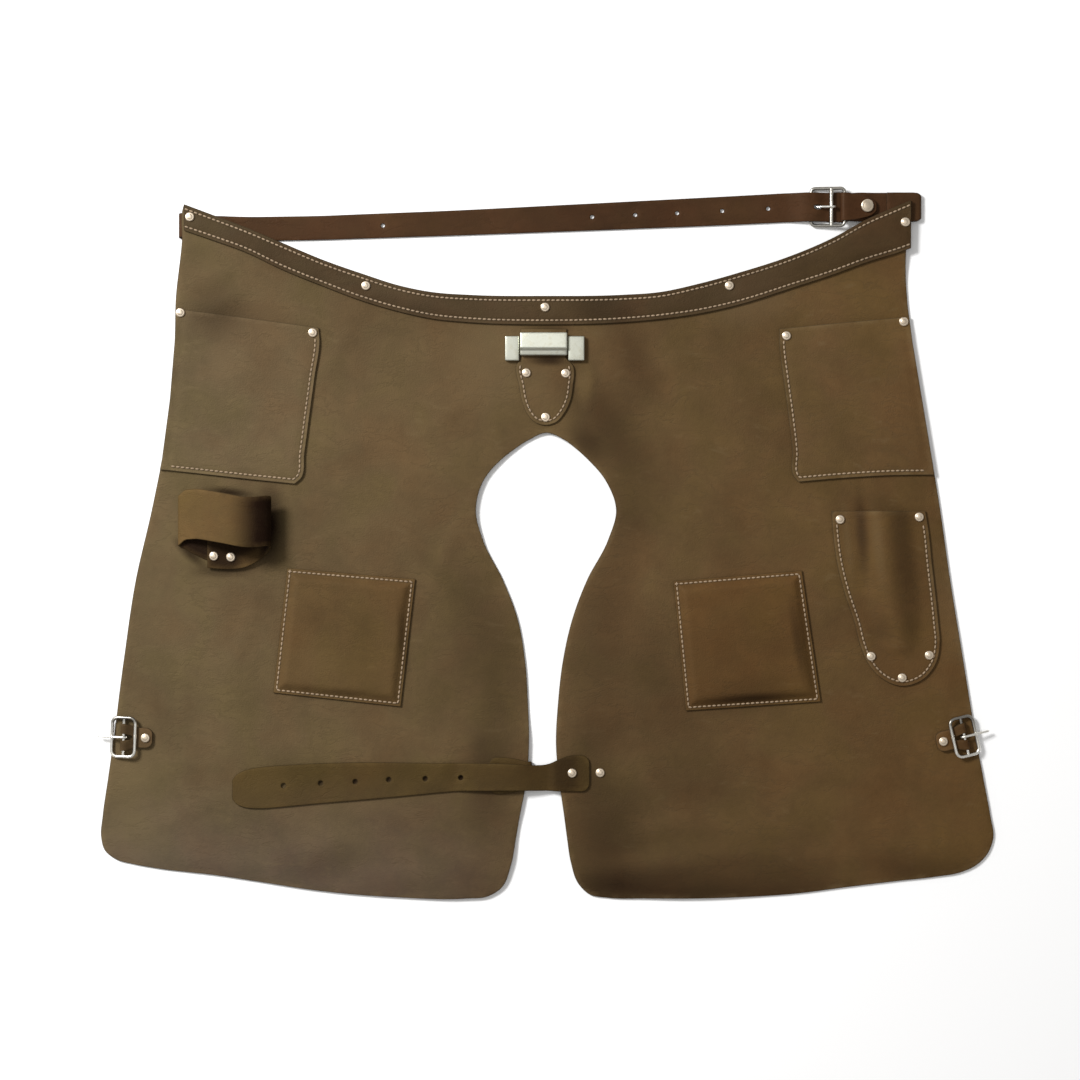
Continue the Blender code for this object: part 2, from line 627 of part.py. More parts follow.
def add_belt(parts, cutters, leather):
    """From its anchor behind the left corner, round the fold, along the waist and through the buckle."""
    low = BELT_HIDE / 2
    high = low + BELT_LAYER
    radius = (high - low) / 2
    rows = [(x, 317.5, high, 24.0) for x in (BELT_ANCHOR_LEFT, -349.0, BELT_FOLD_LEFT + 4)]
    for x, z in arc(BELT_FOLD_LEFT, (low + high) / 2, radius, 90, 270, 8):
        share = (high - z) / (high - low)
        rows.append((x, 317.5 - 1.5 * share, z, 24.0))
    over_rail = FAR_HEIGHT + FRAME_WIRE + GAP + low
    stretch = [(x, low) for x in (-350, -325, -300, -262, -225, -190, -150, -100, -50, 0, 50, 100, 150, 190, 222)]
    stretch += [(240, low), (250, low + 1.5), (261, over_rail), (268, over_rail), (273, over_rail - 1.5),
                (278.5, low + 0.2), (282, low), (300, low)]
    for x, z in stretch:
        y, width = belt_line(x)
        rows.append((x, y, z, width))
    y, width = belt_line(BELT_END)
    for back, share in ((6.0, 0.86), (2.2, 0.6), (0.0, 0.3)):
        rows.append((BELT_END - back, y, low, width * share))
    belt = ribbon("waist_belt", rows, (0, 1), BELT_HIDE, parts, leather)
    holes = [(x, belt_line(x)[0]) for x in BELT_HOLES]
    boolean(belt, cylinders("belt_hole_cutter", holes, BELT_HOLE / 2, -2, 5, cutters), "DIFFERENCE")
    slot_low = (FAR_RAIL + 2.4, WAIST_BUCKLE.y - 2.1, 1.0)
    slot_high = (FAR_RAIL + 10.5, WAIST_BUCKLE.y + 2.1, 9.0)
    boolean(belt, box_cutter("tongue_slot_cutter", slot_low, slot_high, cutters), "DIFFERENCE")


def add_waist_chape(parts, leather):
    """From its anchor behind the right corner, round the fold, to the heel bar and back over it."""
    low = BELT_HIDE / 2
    high = low + BELT_LAYER
    over_end = BELT_HIDE + GAP + low
    turn = FRAME_WIRE + GAP + low
    y = WAIST_BUCKLE.y
    line = [(CHAPE_ANCHOR, high, CHAPE_WIDTH), (356.0, high, CHAPE_WIDTH), (CHAPE_FOLD - 3, high, CHAPE_WIDTH)]
    line += [(x, z, CHAPE_WIDTH) for x, z in arc(CHAPE_FOLD, (low + high) / 2, (high - low) / 2, 90, -90, 8)]
    line += [(356.0, low, CHAPE_WIDTH), (340.0, low, CHAPE_WIDTH), (328.0, low, CHAPE_WIDTH),
             (320.0, low + 1.2, CHAPE_WIDTH), (314.0, over_end, CHAPE_WIDTH), (304.0, over_end, 28.0)]
    line += [(x, z, 28.0) for x, z in arc(HEEL_BAR, HEEL_HEIGHT, turn, -90, -270, 10)]
    line += [(304.0, HEEL_HEIGHT + turn - 1.2, 27.0), (311.0, 7.2, 25.0), (317.0, 6.3, 22.0), (323.0, 5.4, 18.5),
             (328.0, 4.9, 12.0), (CHAPE_TAIL, 4.8, 6.0)]
    rows = [(x, y, z, width) for x, z, width in line]
    ribbon("waist_chape", rows, (0, 1), BELT_HIDE, parts, leather)


def rounded_frame(x0, x1, half, height_at, corner):
    """Points round a rectangle with rounded corners, lying on a tilted plane."""
    points = []
    for cx, cy, start in ((x1 - corner, half - corner, 0), (x0 + corner, half - corner, 90),
                          (x0 + corner, corner - half, 180), (x1 - corner, corner - half, 270)):
        for angle in np.radians(np.linspace(start, start + 90, 4)):
            x = cx + corner * math.cos(angle)
            points.append((x, cy + corner * math.sin(angle), height_at(x)))
    return points


def bar_across(name, x, y, z, half, radius, cutters):
    mesh = bmesh.new()
    turn = Matrix.Translation((x, y, z)) @ Matrix.Rotation(math.radians(90), 4, "X")
    bmesh.ops.create_cone(mesh, cap_ends=True, segments=10, radius1=radius, radius2=radius,
                          depth=2 * half, matrix=turn)
    return as_cutter(add_object(name, mesh, cutters, cutter_material(), smooth=False))


def add_waist_buckle(parts, cutters, steel):
    slope = (HEEL_HEIGHT - FAR_HEIGHT) / (HEEL_BAR - FAR_RAIL)

    def height_at(x):
        return FAR_HEIGHT + slope * (x - FAR_RAIL)

    y = WAIST_BUCKLE.y
    ring = [(px, py + y, pz) for px, py, pz in rounded_frame(FAR_RAIL, HEEL_BAR, FRAME_HALF, height_at, 4.0)]
    frame = tube("waist_buckle_frame", ring, FRAME_WIRE, parts, steel, closed=True)
    middle = height_at(MIDDLE_BAR)
    bar = bar_across("middle_bar_joiner", MIDDLE_BAR, y, middle, FRAME_HALF, MIDDLE_WIRE, cutters)
    boolean(frame, bar, "UNION")
    eye = MIDDLE_WIRE + GAP + TONGUE_WIRE
    line = arc(MIDDLE_BAR, middle, eye, -30, 90, 7)
    line += [(MIDDLE_BAR - 5.5, middle + eye - 0.7), (MIDDLE_BAR - 10.5, middle + 1.9),
             (MIDDLE_BAR - 13.5, middle + 0.6), (MIDDLE_BAR - 15.4, middle - 0.3)]
    tube("waist_buckle_tongue", [(x, y, z) for x, z in line], TONGUE_WIRE, parts, steel)


def add_leg_strap_right(parts, cutters, leather):
    half = HIDE / 2
    rows = [(x, y, z, width) for x, y, z, width in smooth_path(LEG_STRAP_RIGHT, 16.0)]
    strap = ribbon("leg_strap_right", rows, (0, 1), HIDE, parts, leather, columns=3, seat=on_panel_or_air)
    cutter = cylinders("leg_hole_cutter", LEG_STRAP_HOLES, LEG_STRAP_HOLE / 2, half, 14, cutters)
    boolean(strap, cutter, "DIFFERENCE")


def on_panel_or_air(x, y):
    """The panel's top where the strap lies on a leg, and nothing over the split."""
    return on_panel(x, y) if x < -30 or x > 6 else np.float64(0.0)


def add_leg_strap_left(parts, leather):
    """Riveted on the front of the left leg, folded round its inner edge and laid under it."""
    low = HIDE / 2
    high = 2 * (HIDE + GAP) + low
    width_front = ((0.0, 20.0), (1.6, 30.0), (5.0, 35.5), (16.0, 36.0), (32.0, 31.0))
    rows = [(LEFT_STRAP_END + d, LEFT_STRAP_Y, high, w) for d, w in width_front]
    rows += [(x, LEFT_STRAP_Y, z, 27.0)
             for x, z in arc(LEFT_STRAP_EDGE, (low + high) / 2, (high - low) / 2, 90, -90, 9)]
    run = ((20, 27), (45, 27.5), (80, 29), (120, 32), (160, 35.5), (200, 38), (240, 40), (275, 41),
           (293, 38), (302, 31), (307, 20))
    rows += [(LEFT_STRAP_EDGE - d, left_strap_y(LEFT_STRAP_EDGE - d), low, w) for d, w in run]
    ribbon("leg_strap_left", rows, (0, 1), HIDE, parts, leather)


def add_leg_buckle(buckle, parts, cutters, leather, steel):
    """Chape, frame and tongue in a frame whose x runs outward from the chape's rivet."""
    base = HIDE + GAP
    half = CHAPE_HIDE / 2
    lower, upper = base + half, base + CHAPE_HIDE + GAP + half
    turn = BAR_WIRE + GAP + half
    place = Matrix.Translation((buckle.x * MM, buckle.y * MM, 0)) @ Matrix.Rotation(
        math.radians(buckle.turn), 4, "Z")

    line = [(-7.0, lower, 9.0), (-5.5, lower, 15.0), (-2.0, lower, 19.5), (6.0, lower, 20.0), (13.0, lower + 0.2, 23.0)]
    line += [(x, z, 27.0) for x, z in arc(CENTRE_BAR, CENTRE_BAR_HEIGHT, turn, -90, 90, 9)]
    line += [(14.5, upper + 1.1, 23.0), (10.0, upper, 20.5), (6.0, upper, 20.0), (-2.0, upper, 19.5),
             (-5.5, upper, 15.0), (-7.0, upper, 9.0)]
    rows = [(x, 0.0, z, width) for x, z, width in line]
    chape = ribbon("leg_chape_" + buckle.side, rows, (0, 1), CHAPE_HIDE, parts, leather)
    slot = box_cutter("leg_slot_cutter_" + buckle.side, (13.0, -SLOT_WIDTH / 2, 1.0),
                      (CENTRE_BAR + 6, SLOT_WIDTH / 2, 12.0), cutters)
    boolean(chape, slot, "DIFFERENCE")

    def height_at(x):
        return CENTRE_BAR_HEIGHT + FRAME_SLOPE * (x - CENTRE_BAR)

    ring = rounded_frame(INNER_RAIL, OUTER_RAIL, LEG_FRAME_HALF, height_at, 6.0)
    frame = tube("leg_buckle_frame_" + buckle.side, ring, FRAME_WIRE, parts, steel, closed=True)
    bar = bar_across("leg_bar_joiner_" + buckle.side, CENTRE_BAR, 0, CENTRE_BAR_HEIGHT, LEG_FRAME_HALF,
                     BAR_WIRE, cutters)
    boolean(frame, bar, "UNION")

    eye = BAR_WIRE + GAP + TONGUE_WIRE
    shank = [(x, 0.0, z) for x, z in arc(0, 0, eye, 330, 90, 11)]
    shank += [(6.0, 0.0, eye - 0.5), (12.0, 0.0, eye - 1.4), (19.0, 0.0, eye - 2.4), (TONGUE_REACH, 0.0, eye - 3.6)]
    tongue = tube("leg_buckle_tongue_" + buckle.side, shank, TONGUE_WIRE, parts, steel)
    for obj in (chape, slot, frame, bar):
        obj.matrix_world = place
    pivot = Matrix.Translation((CENTRE_BAR * MM, 0, CENTRE_BAR_HEIGHT * MM))
    tongue.matrix_world = place @ pivot

    cap = place @ Vector((0, 0, (upper + half + GAP) * MM))
    return Rivet("chape_" + buckle.side, cap.x / MM, cap.y / MM, 4.7, 2.0, 0), cap.z / MM


# Rivets


def rivet_mesh(name, radius, rise, material):
    """A domed cap, turned about its axis."""
    mesh = bmesh.new()
    profile = [(0.0, rise), (0.55 * radius, 0.88 * rise), (0.9 * radius, 0.5 * rise), (radius, 0.0), (0.0, 0.0)]
    last = None
    for x, z in profile:
        vert = mesh.verts.new((x, 0, z))
        if last:
            mesh.edges.new((last, vert))
        last = vert
    bmesh.ops.scale(mesh, vec=Vector((MM, MM, MM)), verts=mesh.verts)
    data = bpy.data.meshes.new(name)
    mesh.to_mesh(data)
    mesh.free()
    data.materials.append(material)
    return data


def add_rivet(rivet, height, data, parts, tilt=(0.0, 0.0)):
    obj = bpy.data.objects.new("rivet_" + rivet.name, data)
    parts.objects.link(obj)
    turned = obj.modifiers.new("turned", "SCREW")
    turned.steps = RIVET_STEPS
    turned.render_steps = RIVET_STEPS
    turned.use_merge_vertices = True
    turned.merge_threshold = 1e-5
    turned.use_smooth_shade = True
    up = Vector((-tilt[0], -tilt[1], 1.0))
    obj.rotation_euler = up.to_track_quat("Z", "Y").to_euler()
    obj.location = Vector((rivet.x, rivet.y, height)) * MM


def add_rivets(parts, steel, chape_caps):
    common = rivet_mesh("rivet_cap", 4.7, 2.0, steel)
    for rivet in RIVETS:
        flat = rivet.rise != 2.0
        data = rivet_mesh("rivet_flat", rivet.radius, rivet.rise, steel) if flat else common
        x, y = np.float64(rivet.x), np.float64(rivet.y)
        step = rivet.radius
        tilt = ((lift(x + step, y) - lift(x - step, y)) / (2 * step),
                (lift(x, y + step) - lift(x, y - step)) / (2 * step))
        height = lift(x, y) + rivet.layers * (HIDE + GAP) + 0.1
        if rivet.layers == 0:
            height = LOOP_RISE[0].z + BELT_HIDE / 2 + GAP
            tilt = (0.0, 0.0)
        add_rivet(rivet, float(height), data, parts, [float(t) for t in tilt])
    for rivet, height in chape_caps:
        add_rivet(rivet, height, common, parts)
    data = rivet_mesh("rivet_belt_cap", BELT_RIVET.radius, BELT_RIVET.rise, steel)
    add_rivet(BELT_RIVET, 7.7, data, parts, (-0.15, 0.0))


def main():
    clear_scene()
    parts = new_collection(PART_NAME)
    cutters = new_collection("cutters", hidden=True)
    panel = make_material("panel_leather", (0.16, 0.10, 0.052), 0.72)
    band = make_material("band_leather", (0.09, 0.055, 0.032), 0.62)
    belt = make_material("belt_leather", (0.11, 0.042, 0.018), 0.55)
    steel = make_material("nickel_steel", (0.72, 0.68, 0.60), 0.3, 1.0)

    add_panel(parts, panel)
    add_waistband(parts, band)
    add_pocket("left", POCKET_LEFT_INNER, POCKET_LEFT_BOTTOM, POCKET_TOP_LEFT, parts, panel)
    add_pocket("right", POCKET_RIGHT_INNER, POCKET_RIGHT_BOTTOM, POCKET_TOP_RIGHT, parts, panel)
    add_knee_patch("left", PATCH_LEFT, parts, panel)
    add_knee_patch("right", PATCH_RIGHT, parts, panel)
    add_sheath(parts, panel)
    add_hammer_loop(parts, panel)
    add_magnet(parts, panel, steel)
    add_belt(parts, cutters, belt)
    add_waist_chape(parts, belt)
    add_waist_buckle(parts, cutters, steel)
    add_leg_strap_right(parts, cutters, band)
    add_leg_strap_left(parts, band)
    caps = [add_leg_buckle(buckle, parts, cutters, belt, steel) for buckle in LEG_BUCKLES]
    add_rivets(parts, steel, caps)


main()
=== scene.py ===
"""Dresses the split-leg leather apron: leather, stitching, rivets, buckles, floor, lights and camera.

Lengths in the tables are millimetres and become metres when a mesh is made. X runs to the right, Y up
towards the waist, Z up from the surface that the apron lies on.
"""

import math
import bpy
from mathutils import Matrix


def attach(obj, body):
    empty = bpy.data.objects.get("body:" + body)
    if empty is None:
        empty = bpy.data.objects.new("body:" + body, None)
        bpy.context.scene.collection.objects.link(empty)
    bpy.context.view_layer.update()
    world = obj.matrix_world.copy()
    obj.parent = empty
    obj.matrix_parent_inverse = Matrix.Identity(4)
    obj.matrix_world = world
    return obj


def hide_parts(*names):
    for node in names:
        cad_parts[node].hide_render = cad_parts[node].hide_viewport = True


bl_info = {
    "name": "Split-leg leather apron",
    "version": (1, 0, 0),
    "blender": (4, 5, 0),
    "location": "3D View > Sidebar > Leather apron",
    "description": "Builds a leather work apron that lies flat, with its straps, buckles and stitching",
    "category": "Object",
}

from collections import namedtuple
from functools import lru_cache

import bmesh
import bpy
import numpy as np
from bpy.props import FloatProperty, FloatVectorProperty, IntProperty, PointerProperty
from mathutils import Matrix, Vector
from mathutils.geometry import delaunay_2d_cdt

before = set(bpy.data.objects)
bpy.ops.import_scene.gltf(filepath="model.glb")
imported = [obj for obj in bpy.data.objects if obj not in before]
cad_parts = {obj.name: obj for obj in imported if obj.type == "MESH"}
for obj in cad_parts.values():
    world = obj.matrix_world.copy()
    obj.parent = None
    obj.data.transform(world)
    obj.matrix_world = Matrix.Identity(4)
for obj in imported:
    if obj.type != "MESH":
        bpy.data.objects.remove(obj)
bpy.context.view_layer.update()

MM = 0.001
APRON, TONGUE_LEFT, TONGUE_RIGHT = "apron", "tongue_left", "tongue_right"

# Leather and seams
HIDE = 2.0
BELT_HIDE = 2.2
CHAPE_HIDE = 1.6
GAP = 0.3
ON_HIDE = HIDE + GAP
FOLD_GAP = 0.8
COARSE = 1.0
PANEL_STEP = 5.5 * COARSE
PIECE_STEP = 3.6 * COARSE
EDGE_STEP = 3.2 * COARSE
SMALL_STEP = 2.4 * COARSE
PATCH_STEP, FINE_STEP = PIECE_STEP * 0.85, PIECE_STEP * 0.8

Point = namedtuple("Point", "x y")


def records(kind, *rows):
    """A table: each row gets the column names of its kind."""
    return tuple(kind(*row) for row in rows)


# Panel outline: where each side and each edge of the split stands at a height y
Section = namedtuple("Section", "y left_out left_in right_in right_out")
SECTIONS = records(
    Section,
    (335, -362, None, None, 364), (303, -363, None, None, 360), (243, -370, None, None, 361),
    (203, -371, None, None, 366), (143, -376, None, None, 376), (103, None, -17, 18, None),
    (94, None, -31, 30, None), (83, -384, -45, 42, 386), (63, None, -62, 59, None), (33, -394, -70, 70, 394),
    (3, None, -63, 62, None), (-37, -410, -43, 41, 404), (-77, None, -28, 26, None), (-117, -422, -21, 17, 417),
    (-160, None, -18, 12, None), (-202, -433, -17, 10, 431), (-237, -438, -19.5, 13, 437.5),
    (-272, -443, -26, 18, 444), (-295, -444.5, -30, 21, 447.1),
)
SPLIT_TOP = (0.5, 110.0)
LEFT_HEM = records(
    Point,
    (-441, -307), (-430, -316), (-412, -321), (-390, -325), (-330, -332), (-290, -338), (-231, -347),
    (-150, -354), (-80, -355.2), (-58, -353), (-44, -344), (-35, -322),
)
RIGHT_HEM = records(
    Point,
    (25, -320), (32, -340), (43, -351), (62, -354.6), (100, -355.2), (180, -354.5), (254, -350), (300, -344),
    (350, -338), (390, -333.5), (415, -329), (430, -322), (441, -311),
)

# Waistband: its upper edge is the panel's waist edge
Band = namedtuple("Band", "x top bottom")
WAISTBAND = records(
    Band,
    (-361, 338, 311.5), (-329, 326, 300.5), (-300, 315, 290), (-264, 300, 273), (-223, 283, 256.5),
    (-183, 269, 241.5), (-147, 257.5, 231), (-115, 251, 224), (-75, 248, 220), (0, 247, 218), (75, 248, 220),
    (115, 251, 223.5), (154, 259.5, 229), (192, 270, 237.5), (246, 287.5, 254.5), (286, 304.5, 267.5),
    (322, 324, 280.5), (350, 336, 289), (364, 342, 294),
)
BAND_INSET = 0.4

# Soft folds: centre, half length, half width, turn, height. They are the solid's own.
Fold = namedtuple("Fold", "x y length width turn height")
FOLDS = records(
    Fold,
    (52, 84, 105, 62, -52, 6.0), (-66, 52, 95, 52, 55, 2.6), (-316, -168, 92, 40, 84, 2.6),
    (-64, -322, 74, 46, 18, 4.2), (150, -332, 96, 40, 3, 3.6), (66, -106, 92, 40, -14, 2.6),
    (386, -292, 66, 44, -24, 2.6), (-296, 196, 62, 34, 62, 1.8), (296, 204, 66, 36, -55, 1.6),
    (-176, 92, 96, 50, -32, 1.8), (182, 52, 104, 48, 34, 1.8), (-208, -306, 84, 36, 8, 2.0),
)
# Smaller creases laid on those folds
CREASES = records(
    Fold,
    (-338, 262, 46, 11, 22, 0.9), (-322, 240, 40, 9, 34, 0.7), (-214, 180, 58, 13, 62, 0.8),
    (-120, 182, 66, 14, -24, 0.9), (-96, 128, 58, 12, 38, 0.7), (120, 176, 62, 13, 28, 0.9),
    (204, 136, 70, 15, -64, 0.8), (332, 236, 40, 10, -30, 0.8), (92, 6, 74, 16, -58, 1.1),
    (-104, -18, 66, 14, 66, 0.9), (-352, 30, 56, 12, 76, 0.8), (-302, -92, 62, 13, 70, 0.9),
    (-96, -196, 62, 13, 80, 0.8), (96, -196, 70, 14, -74, 0.9), (226, -208, 84, 16, -8, 1.0),
    (310, -236, 72, 14, -20, 1.0), (-360, -270, 62, 13, 24, 1.0), (-130, -300, 60, 12, -12, 0.8),
    (110, -286, 66, 14, 16, 0.9), (262, -318, 66, 13, 10, 0.9), (404, -130, 52, 12, 84, 0.8),
    (118, 92, 60, 12, -40, 0.8), (-196, 12, 58, 12, 12, 0.7), (206, -2, 56, 12, -10, 0.7),
)
RIPPLE_LARGE, RIPPLE_SMALL = 1.5, 0.55
RIPPLE_FLOOR = 0.75
# Darker leather (height above 0) or paler (below 0): partly the leather's own uneven tone, mostly painted shade of
# the folds, of the light's fall-off and of the pieces on the panel, and painted light
STAINS_AND_PAINTED_SHADE = records(
    Fold,
    (58, 122, 92, 46, -60, 0.50), (88, 178, 66, 34, -76, 0.40), (38, 98, 30, 22, -50, 0.42),
    (50, 238, 46, 28, -20, 0.34), (50, -88, 116, 46, 76, 0.38), (78, 30, 70, 30, 78, 0.20),
    (92, -110, 70, 44, 70, 0.18), (118, -110, 84, 40, 88, 0.16), (215, -20, 66, 62, 0, 0.13),
    (-58, -92, 110, 50, -72, 0.38), (-88, 60, 50, 34, 60, 0.16), (-98, -140, 66, 40, 80, 0.22),
    (-58, -226, 112, 36, 88, 0.38), (-120, 36, 52, 32, 88, 0.10), (-150, -344, 64, 22, 2, 0.20),
    (56, -292, 84, 62, 84, 0.58), (42, -216, 60, 34, 86, 0.24), (96, -346, 124, 32, 0, 0.74),
    (226, -348, 120, 27, 3, 0.60), (130, -178, 136, 64, -4, 0.24), (142, -240, 104, 46, 4, 0.20),
    (180, -306, 136, 40, 2, 0.24), (196, -324, 156, 20, 1, 0.30), (212, -150, 72, 28, 4, 0.28),
    (60, -184, 56, 50, 88, 0.15), (200, -98, 84, 78, 0, 0.22), (384, -330, 80, 20, 8, 0.36),
    (352, -318, 66, 22, 6, 0.24), (-224, -316, 60, 30, 10, 0.32), (-330, -326, 90, 12, -6, 0.14),
    (-352, -255, 90, 50, 12, 0.02), (-326, 222, 62, 38, 8, 0.40), (-336, 246, 48, 42, 0, 0.22),
    (-350, 292, 40, 22, -20, 0.18),
    # Paler places: mostly painted light
    (-236, -272, 80, 46, 88, -0.25), (-128, 170, 120, 60, -12, -0.22), (-50, 190, 92, 62, 78, -0.70),
    (-146, 262, 62, 28, -14, -0.90), (200, 246, 66, 40, 12, -0.70), (-400, -80, 120, 46, 78, -0.16),
    (-424, -215, 76, 56, 72, -0.95), (-420, -290, 60, 40, 20, -0.40), (176, 120, 110, 56, -30, 0.06),
    (-8, 168, 40, 22, 88, -0.20), (-282, -246, 48, 22, 4, -0.95), (410, -60, 90, 30, -80, -0.45),
    # Painted shadow under and beside the hammer loop
    (-316, 50.5, 34, 7, -7, 0.9), (-276, 32, 38, 21, 88, 0.74), (-276, 2, 38, 21, 88, 0.74),
    (-322, -28, 46, 9, 2, 0.55), (-356, -10, 30, 9, -42, 0.85),
    # Beside the knife sheath's tube: painted shade in the valleys at its sides and painted highlights along it
    (315, 10, 62, 9, -86, 0.62), (330, 0, 60, 8, -84, -0.4), (360, -40, 92, 20, -85, 0.15),
    (301, 0, 60, 6, -84, -0.4), (386, -40, 80, 6, -84, -0.5), (334, -86, 34, 18, -84, 0.22),
    # Painted shade along the knee pads' shaded sides, and a paler place on the left pad
    (-143, -98, 64, 7, -84, 0.38), (-206, -150, 66, 7, 6, 0.22), (-228, -122, 44, 32, 0, -0.5),
    (251, -96, 66, 8, -81, 0.42), (205, -155, 68, 8, 4, 0.46),
    # Inside the leg buckles
    (-420, -190, 24, 9, 90, 0.62), (414, -194, 22, 9, 77, 0.16),
    # Painted shadow under and above the magnet bar, and painted light beside its tab
    (-2, 182.5, 32, 8.5, 0, 1.05), (-2, 214, 44, 6, 0, 0.5), (38, 158, 30, 12, 88, -0.5),
)

# How the tone of the pieces from other parts of the hide differs, in red, green and blue
POCKET_TONE, PATCH_TONE = (1.10, 1.12, 1.18), (0.98, 0.88, 0.72)
SHEATH_TONE, LOOP_TONE = (1.02, 1.0, 0.98), (0.90, 0.78, 0.58)
CHAPE_TONE = (1.0, 0.90, 0.86)

# Waist belt, laid behind the waist: centre height and width at a distance x
Station = namedtuple("Station", "x y width")
BELT = records(
    Station,
    (-364, 316, 24), (-300, 314, 24), (-237, 314.5, 24), (-86, 320, 25), (50, 326, 27), (170, 331.5, 28.5),
    (240, 335, 29), (262, 335.5, 29),
)
BELT_FOLD_LEFT = -364.2
BELT_ANCHOR_LEFT = -338.0
BELT_END = 312.0
BELT_HOLES = (-163, 46, 89, 131, 176, 222)
BELT_HOLE = 4.0

# Waist buckle: a frame with a far rail under the belt, a middle bar and a heel bar in the chape
WAIST_BUCKLE_Y = 335.5
FAR_RAIL, MIDDLE_BAR, HEEL_BAR = 265.0, 285.0, 298.0
FRAME_HALF = 18.6
FRAME_WIRE = 1.7
MIDDLE_WIRE = 2.2
FAR_HEIGHT, HEEL_HEIGHT = 1.8, 6.7
CHAPE_WIDTH = 29.0
CHAPE_FOLD = 372.4
CHAPE_CORNER = 6.5
CHAPE_ANCHOR = 340.0
CHAPE_TAIL = 330.0

# Leg straps: the right one lies across the split and the left leg, the left one round the leg's edge
Strap = namedtuple("Strap", "x y z width")
LEG_STRAP_RIGHT = records(
    Strap,
    (43.5, -230, 0, 20), (42, -230, 0, 29), (38.5, -230, 0, 35), (26, -230, 0, 36), (13, -232, 3.4, 32),
    (2, -234, 4.8, 26.5), (-11, -234.5, 7.0, 25.5), (-26, -234, 9.3, 26), (-42, -233.5, 9.9, 27),
    (-60, -233.5, 8.8, 27.5), (-84, -233.5, 6.4, 28), (-121, -235, 0, 31), (-157, -236.5, 0, 35),
    (-191, -238, 0, 38), (-225, -239.8, 0, 40), (-262, -242.5, 0, 41.5), (-288, -244.5, 0, 41),
    (-301, -245.3, 0, 37), (-308.5, -245.8, 0, 30), (-313, -246, 0, 19),
)
LEG_STRAP_HOLES = records(
    Point,
    (-262, -242), (-225, -239.5), (-190.5, -238), (-157, -236), (-120.5, -235), (-85, -234),
)
LEG_STRAP_HOLE = 5.0
LEFT_STRAP_EDGE = -17.2
LEFT_STRAP_END = -57.0
LEFT_STRAP_REACH = 308.0
LEFT_STRAP_Y, LEFT_STRAP_SLOPE = -232.0, 0.033

# Leg buckles: distances outward from the chape's rivet, in a frame turned to the leg's side
LegBuckle = namedtuple("LegBuckle", "side body x y turn")
LEG_BUCKLES = records(
    LegBuckle,
    ("left", TONGUE_LEFT, -400.0, -194.5, 178.0), ("right", TONGUE_RIGHT, 396.5, -198.0, 13.0),
)
INNER_RAIL, CENTRE_BAR, OUTER_RAIL = 10.0, 21.5, 33.5
LEG_FRAME_HALF = 19.4
CENTRE_BAR_HEIGHT = 6.3
FRAME_SLOPE = -0.157
BAR_WIRE = 1.5
TONGUE_WIRE = 1.2
TONGUE_REACH = 25.5
SLOT_WIDTH = 4.2

# Upper pockets
POCKET_INNER = {
    "left": records(
        Point,
        (-227, 215), (-226, 205), (-231, 165), (-236, 128), (-241, 90), (-245, 64), (-251, 59),
    ),
    "right": records(Point, (233, 214), (233, 200), (237, 165), (242, 128), (246, 92), (247.5, 66), (252, 61)),
}
POCKET_BOTTOM = {
    "left": records(Point, (-251, 59), (-300, 64), (-345, 69), (-382, 73)),
    "right": records(Point, (252, 61), (300, 65), (345, 67.5), (385, 68)),
}
POCKET_TOP = {"left": 234.0, "right": 226.0}
POCKET_GAPE = 2.2

# Knee patches: corners, then the pad under the leather
PATCHES = {
    "left": records(Point, (-258.5, -25), (-130.5, -36), (-145, -163.5), (-272.5, -149.5)),
    "right": records(Point, (127, -38), (255.5, -27.5), (274.5, -158.5), (139.5, -167.5)),
}
PAD_MARGIN = 12.0
PAD_SHOULDER = 9.0
PAD_RISE = 4.6
PATCH_SEAM = 3.2

# Knife sheath
SheathRow = namedtuple("SheathRow", "y left right middle rise half")
SHEATH = records(
    SheathRow,
    (32, 285, 379, 337, 13.5, 31), (10, 286.5, 382.5, 339, 13, 31.5), (-20, 290.5, 385.5, 342, 11.5, 31),
    (-50, 298, 389, 346, 9.5, 30), (-80, 308, 392, 350, 7, 27), (-100, 313, 393.5, 352, 4.5, 24),
)
SHEATH_FOOT = records(
    Point,
    (321, -119.5), (334, -134.5), (355.5, -143), (377, -136), (390, -119),
)

# Hammer loop: a strap ring of a drop-shaped section that leans towards the waist
LoopRow = namedtuple("LoopRow", "x z low")
LOOP_RISE = records(
    LoopRow,
    (-338, 5.9, -25), (-320, 5.9, -26), (-303, 5.9, -25), (-289, 7.8, -19), (-278, 13, -10), (-274, 20, -4),
    (-277, 27.5, -3), (-286, 32.8, -4), (-299, 34.2, -4), (-316, 32, -1), (-333, 26.3, 2), (-348, 17.6, 4),
    (-359.5, 9.9, 3),
)
LOOP_BASE = records(LoopRow, (-357, 3.4, -8), (-338, 3.4, -17), (-306, 3.4, -20))
LOOP_FOLD = LoopRow(-364.4, 5.2, -2)
LOOP_FOLD_RADIUS = 1.8
LOOP_WIDTH = 50.0

# Magnet bar and its tab, under the middle of the waistband
MAGNET_TAB = records(
    Point,
    (-25.4, 214), (-25.4, 184), (-29.5, 178), (-27, 157), (-24, 141), (-19, 129), (-12, 121), (-0.5, 117.5),
    (11, 121), (18, 129), (24, 141), (27, 157), (26.5, 178), (20.6, 184), (20.6, 214),
)
Block = namedtuple("Block", "name x0 x1 y0 y1 foot height")
MAGNET_BLOCKS = records(
    Block,
    ("magnet_body", -26.0, 21.2, 187.0, 210.0, 2 * ON_HIDE, 8.2),
    ("magnet_end_left", -41.0, -26.8, 182.0, 206.6, ON_HIDE, 5.6),
    ("magnet_end_right", 22.0, 38.4, 182.0, 206.6, ON_HIDE, 5.6),
)

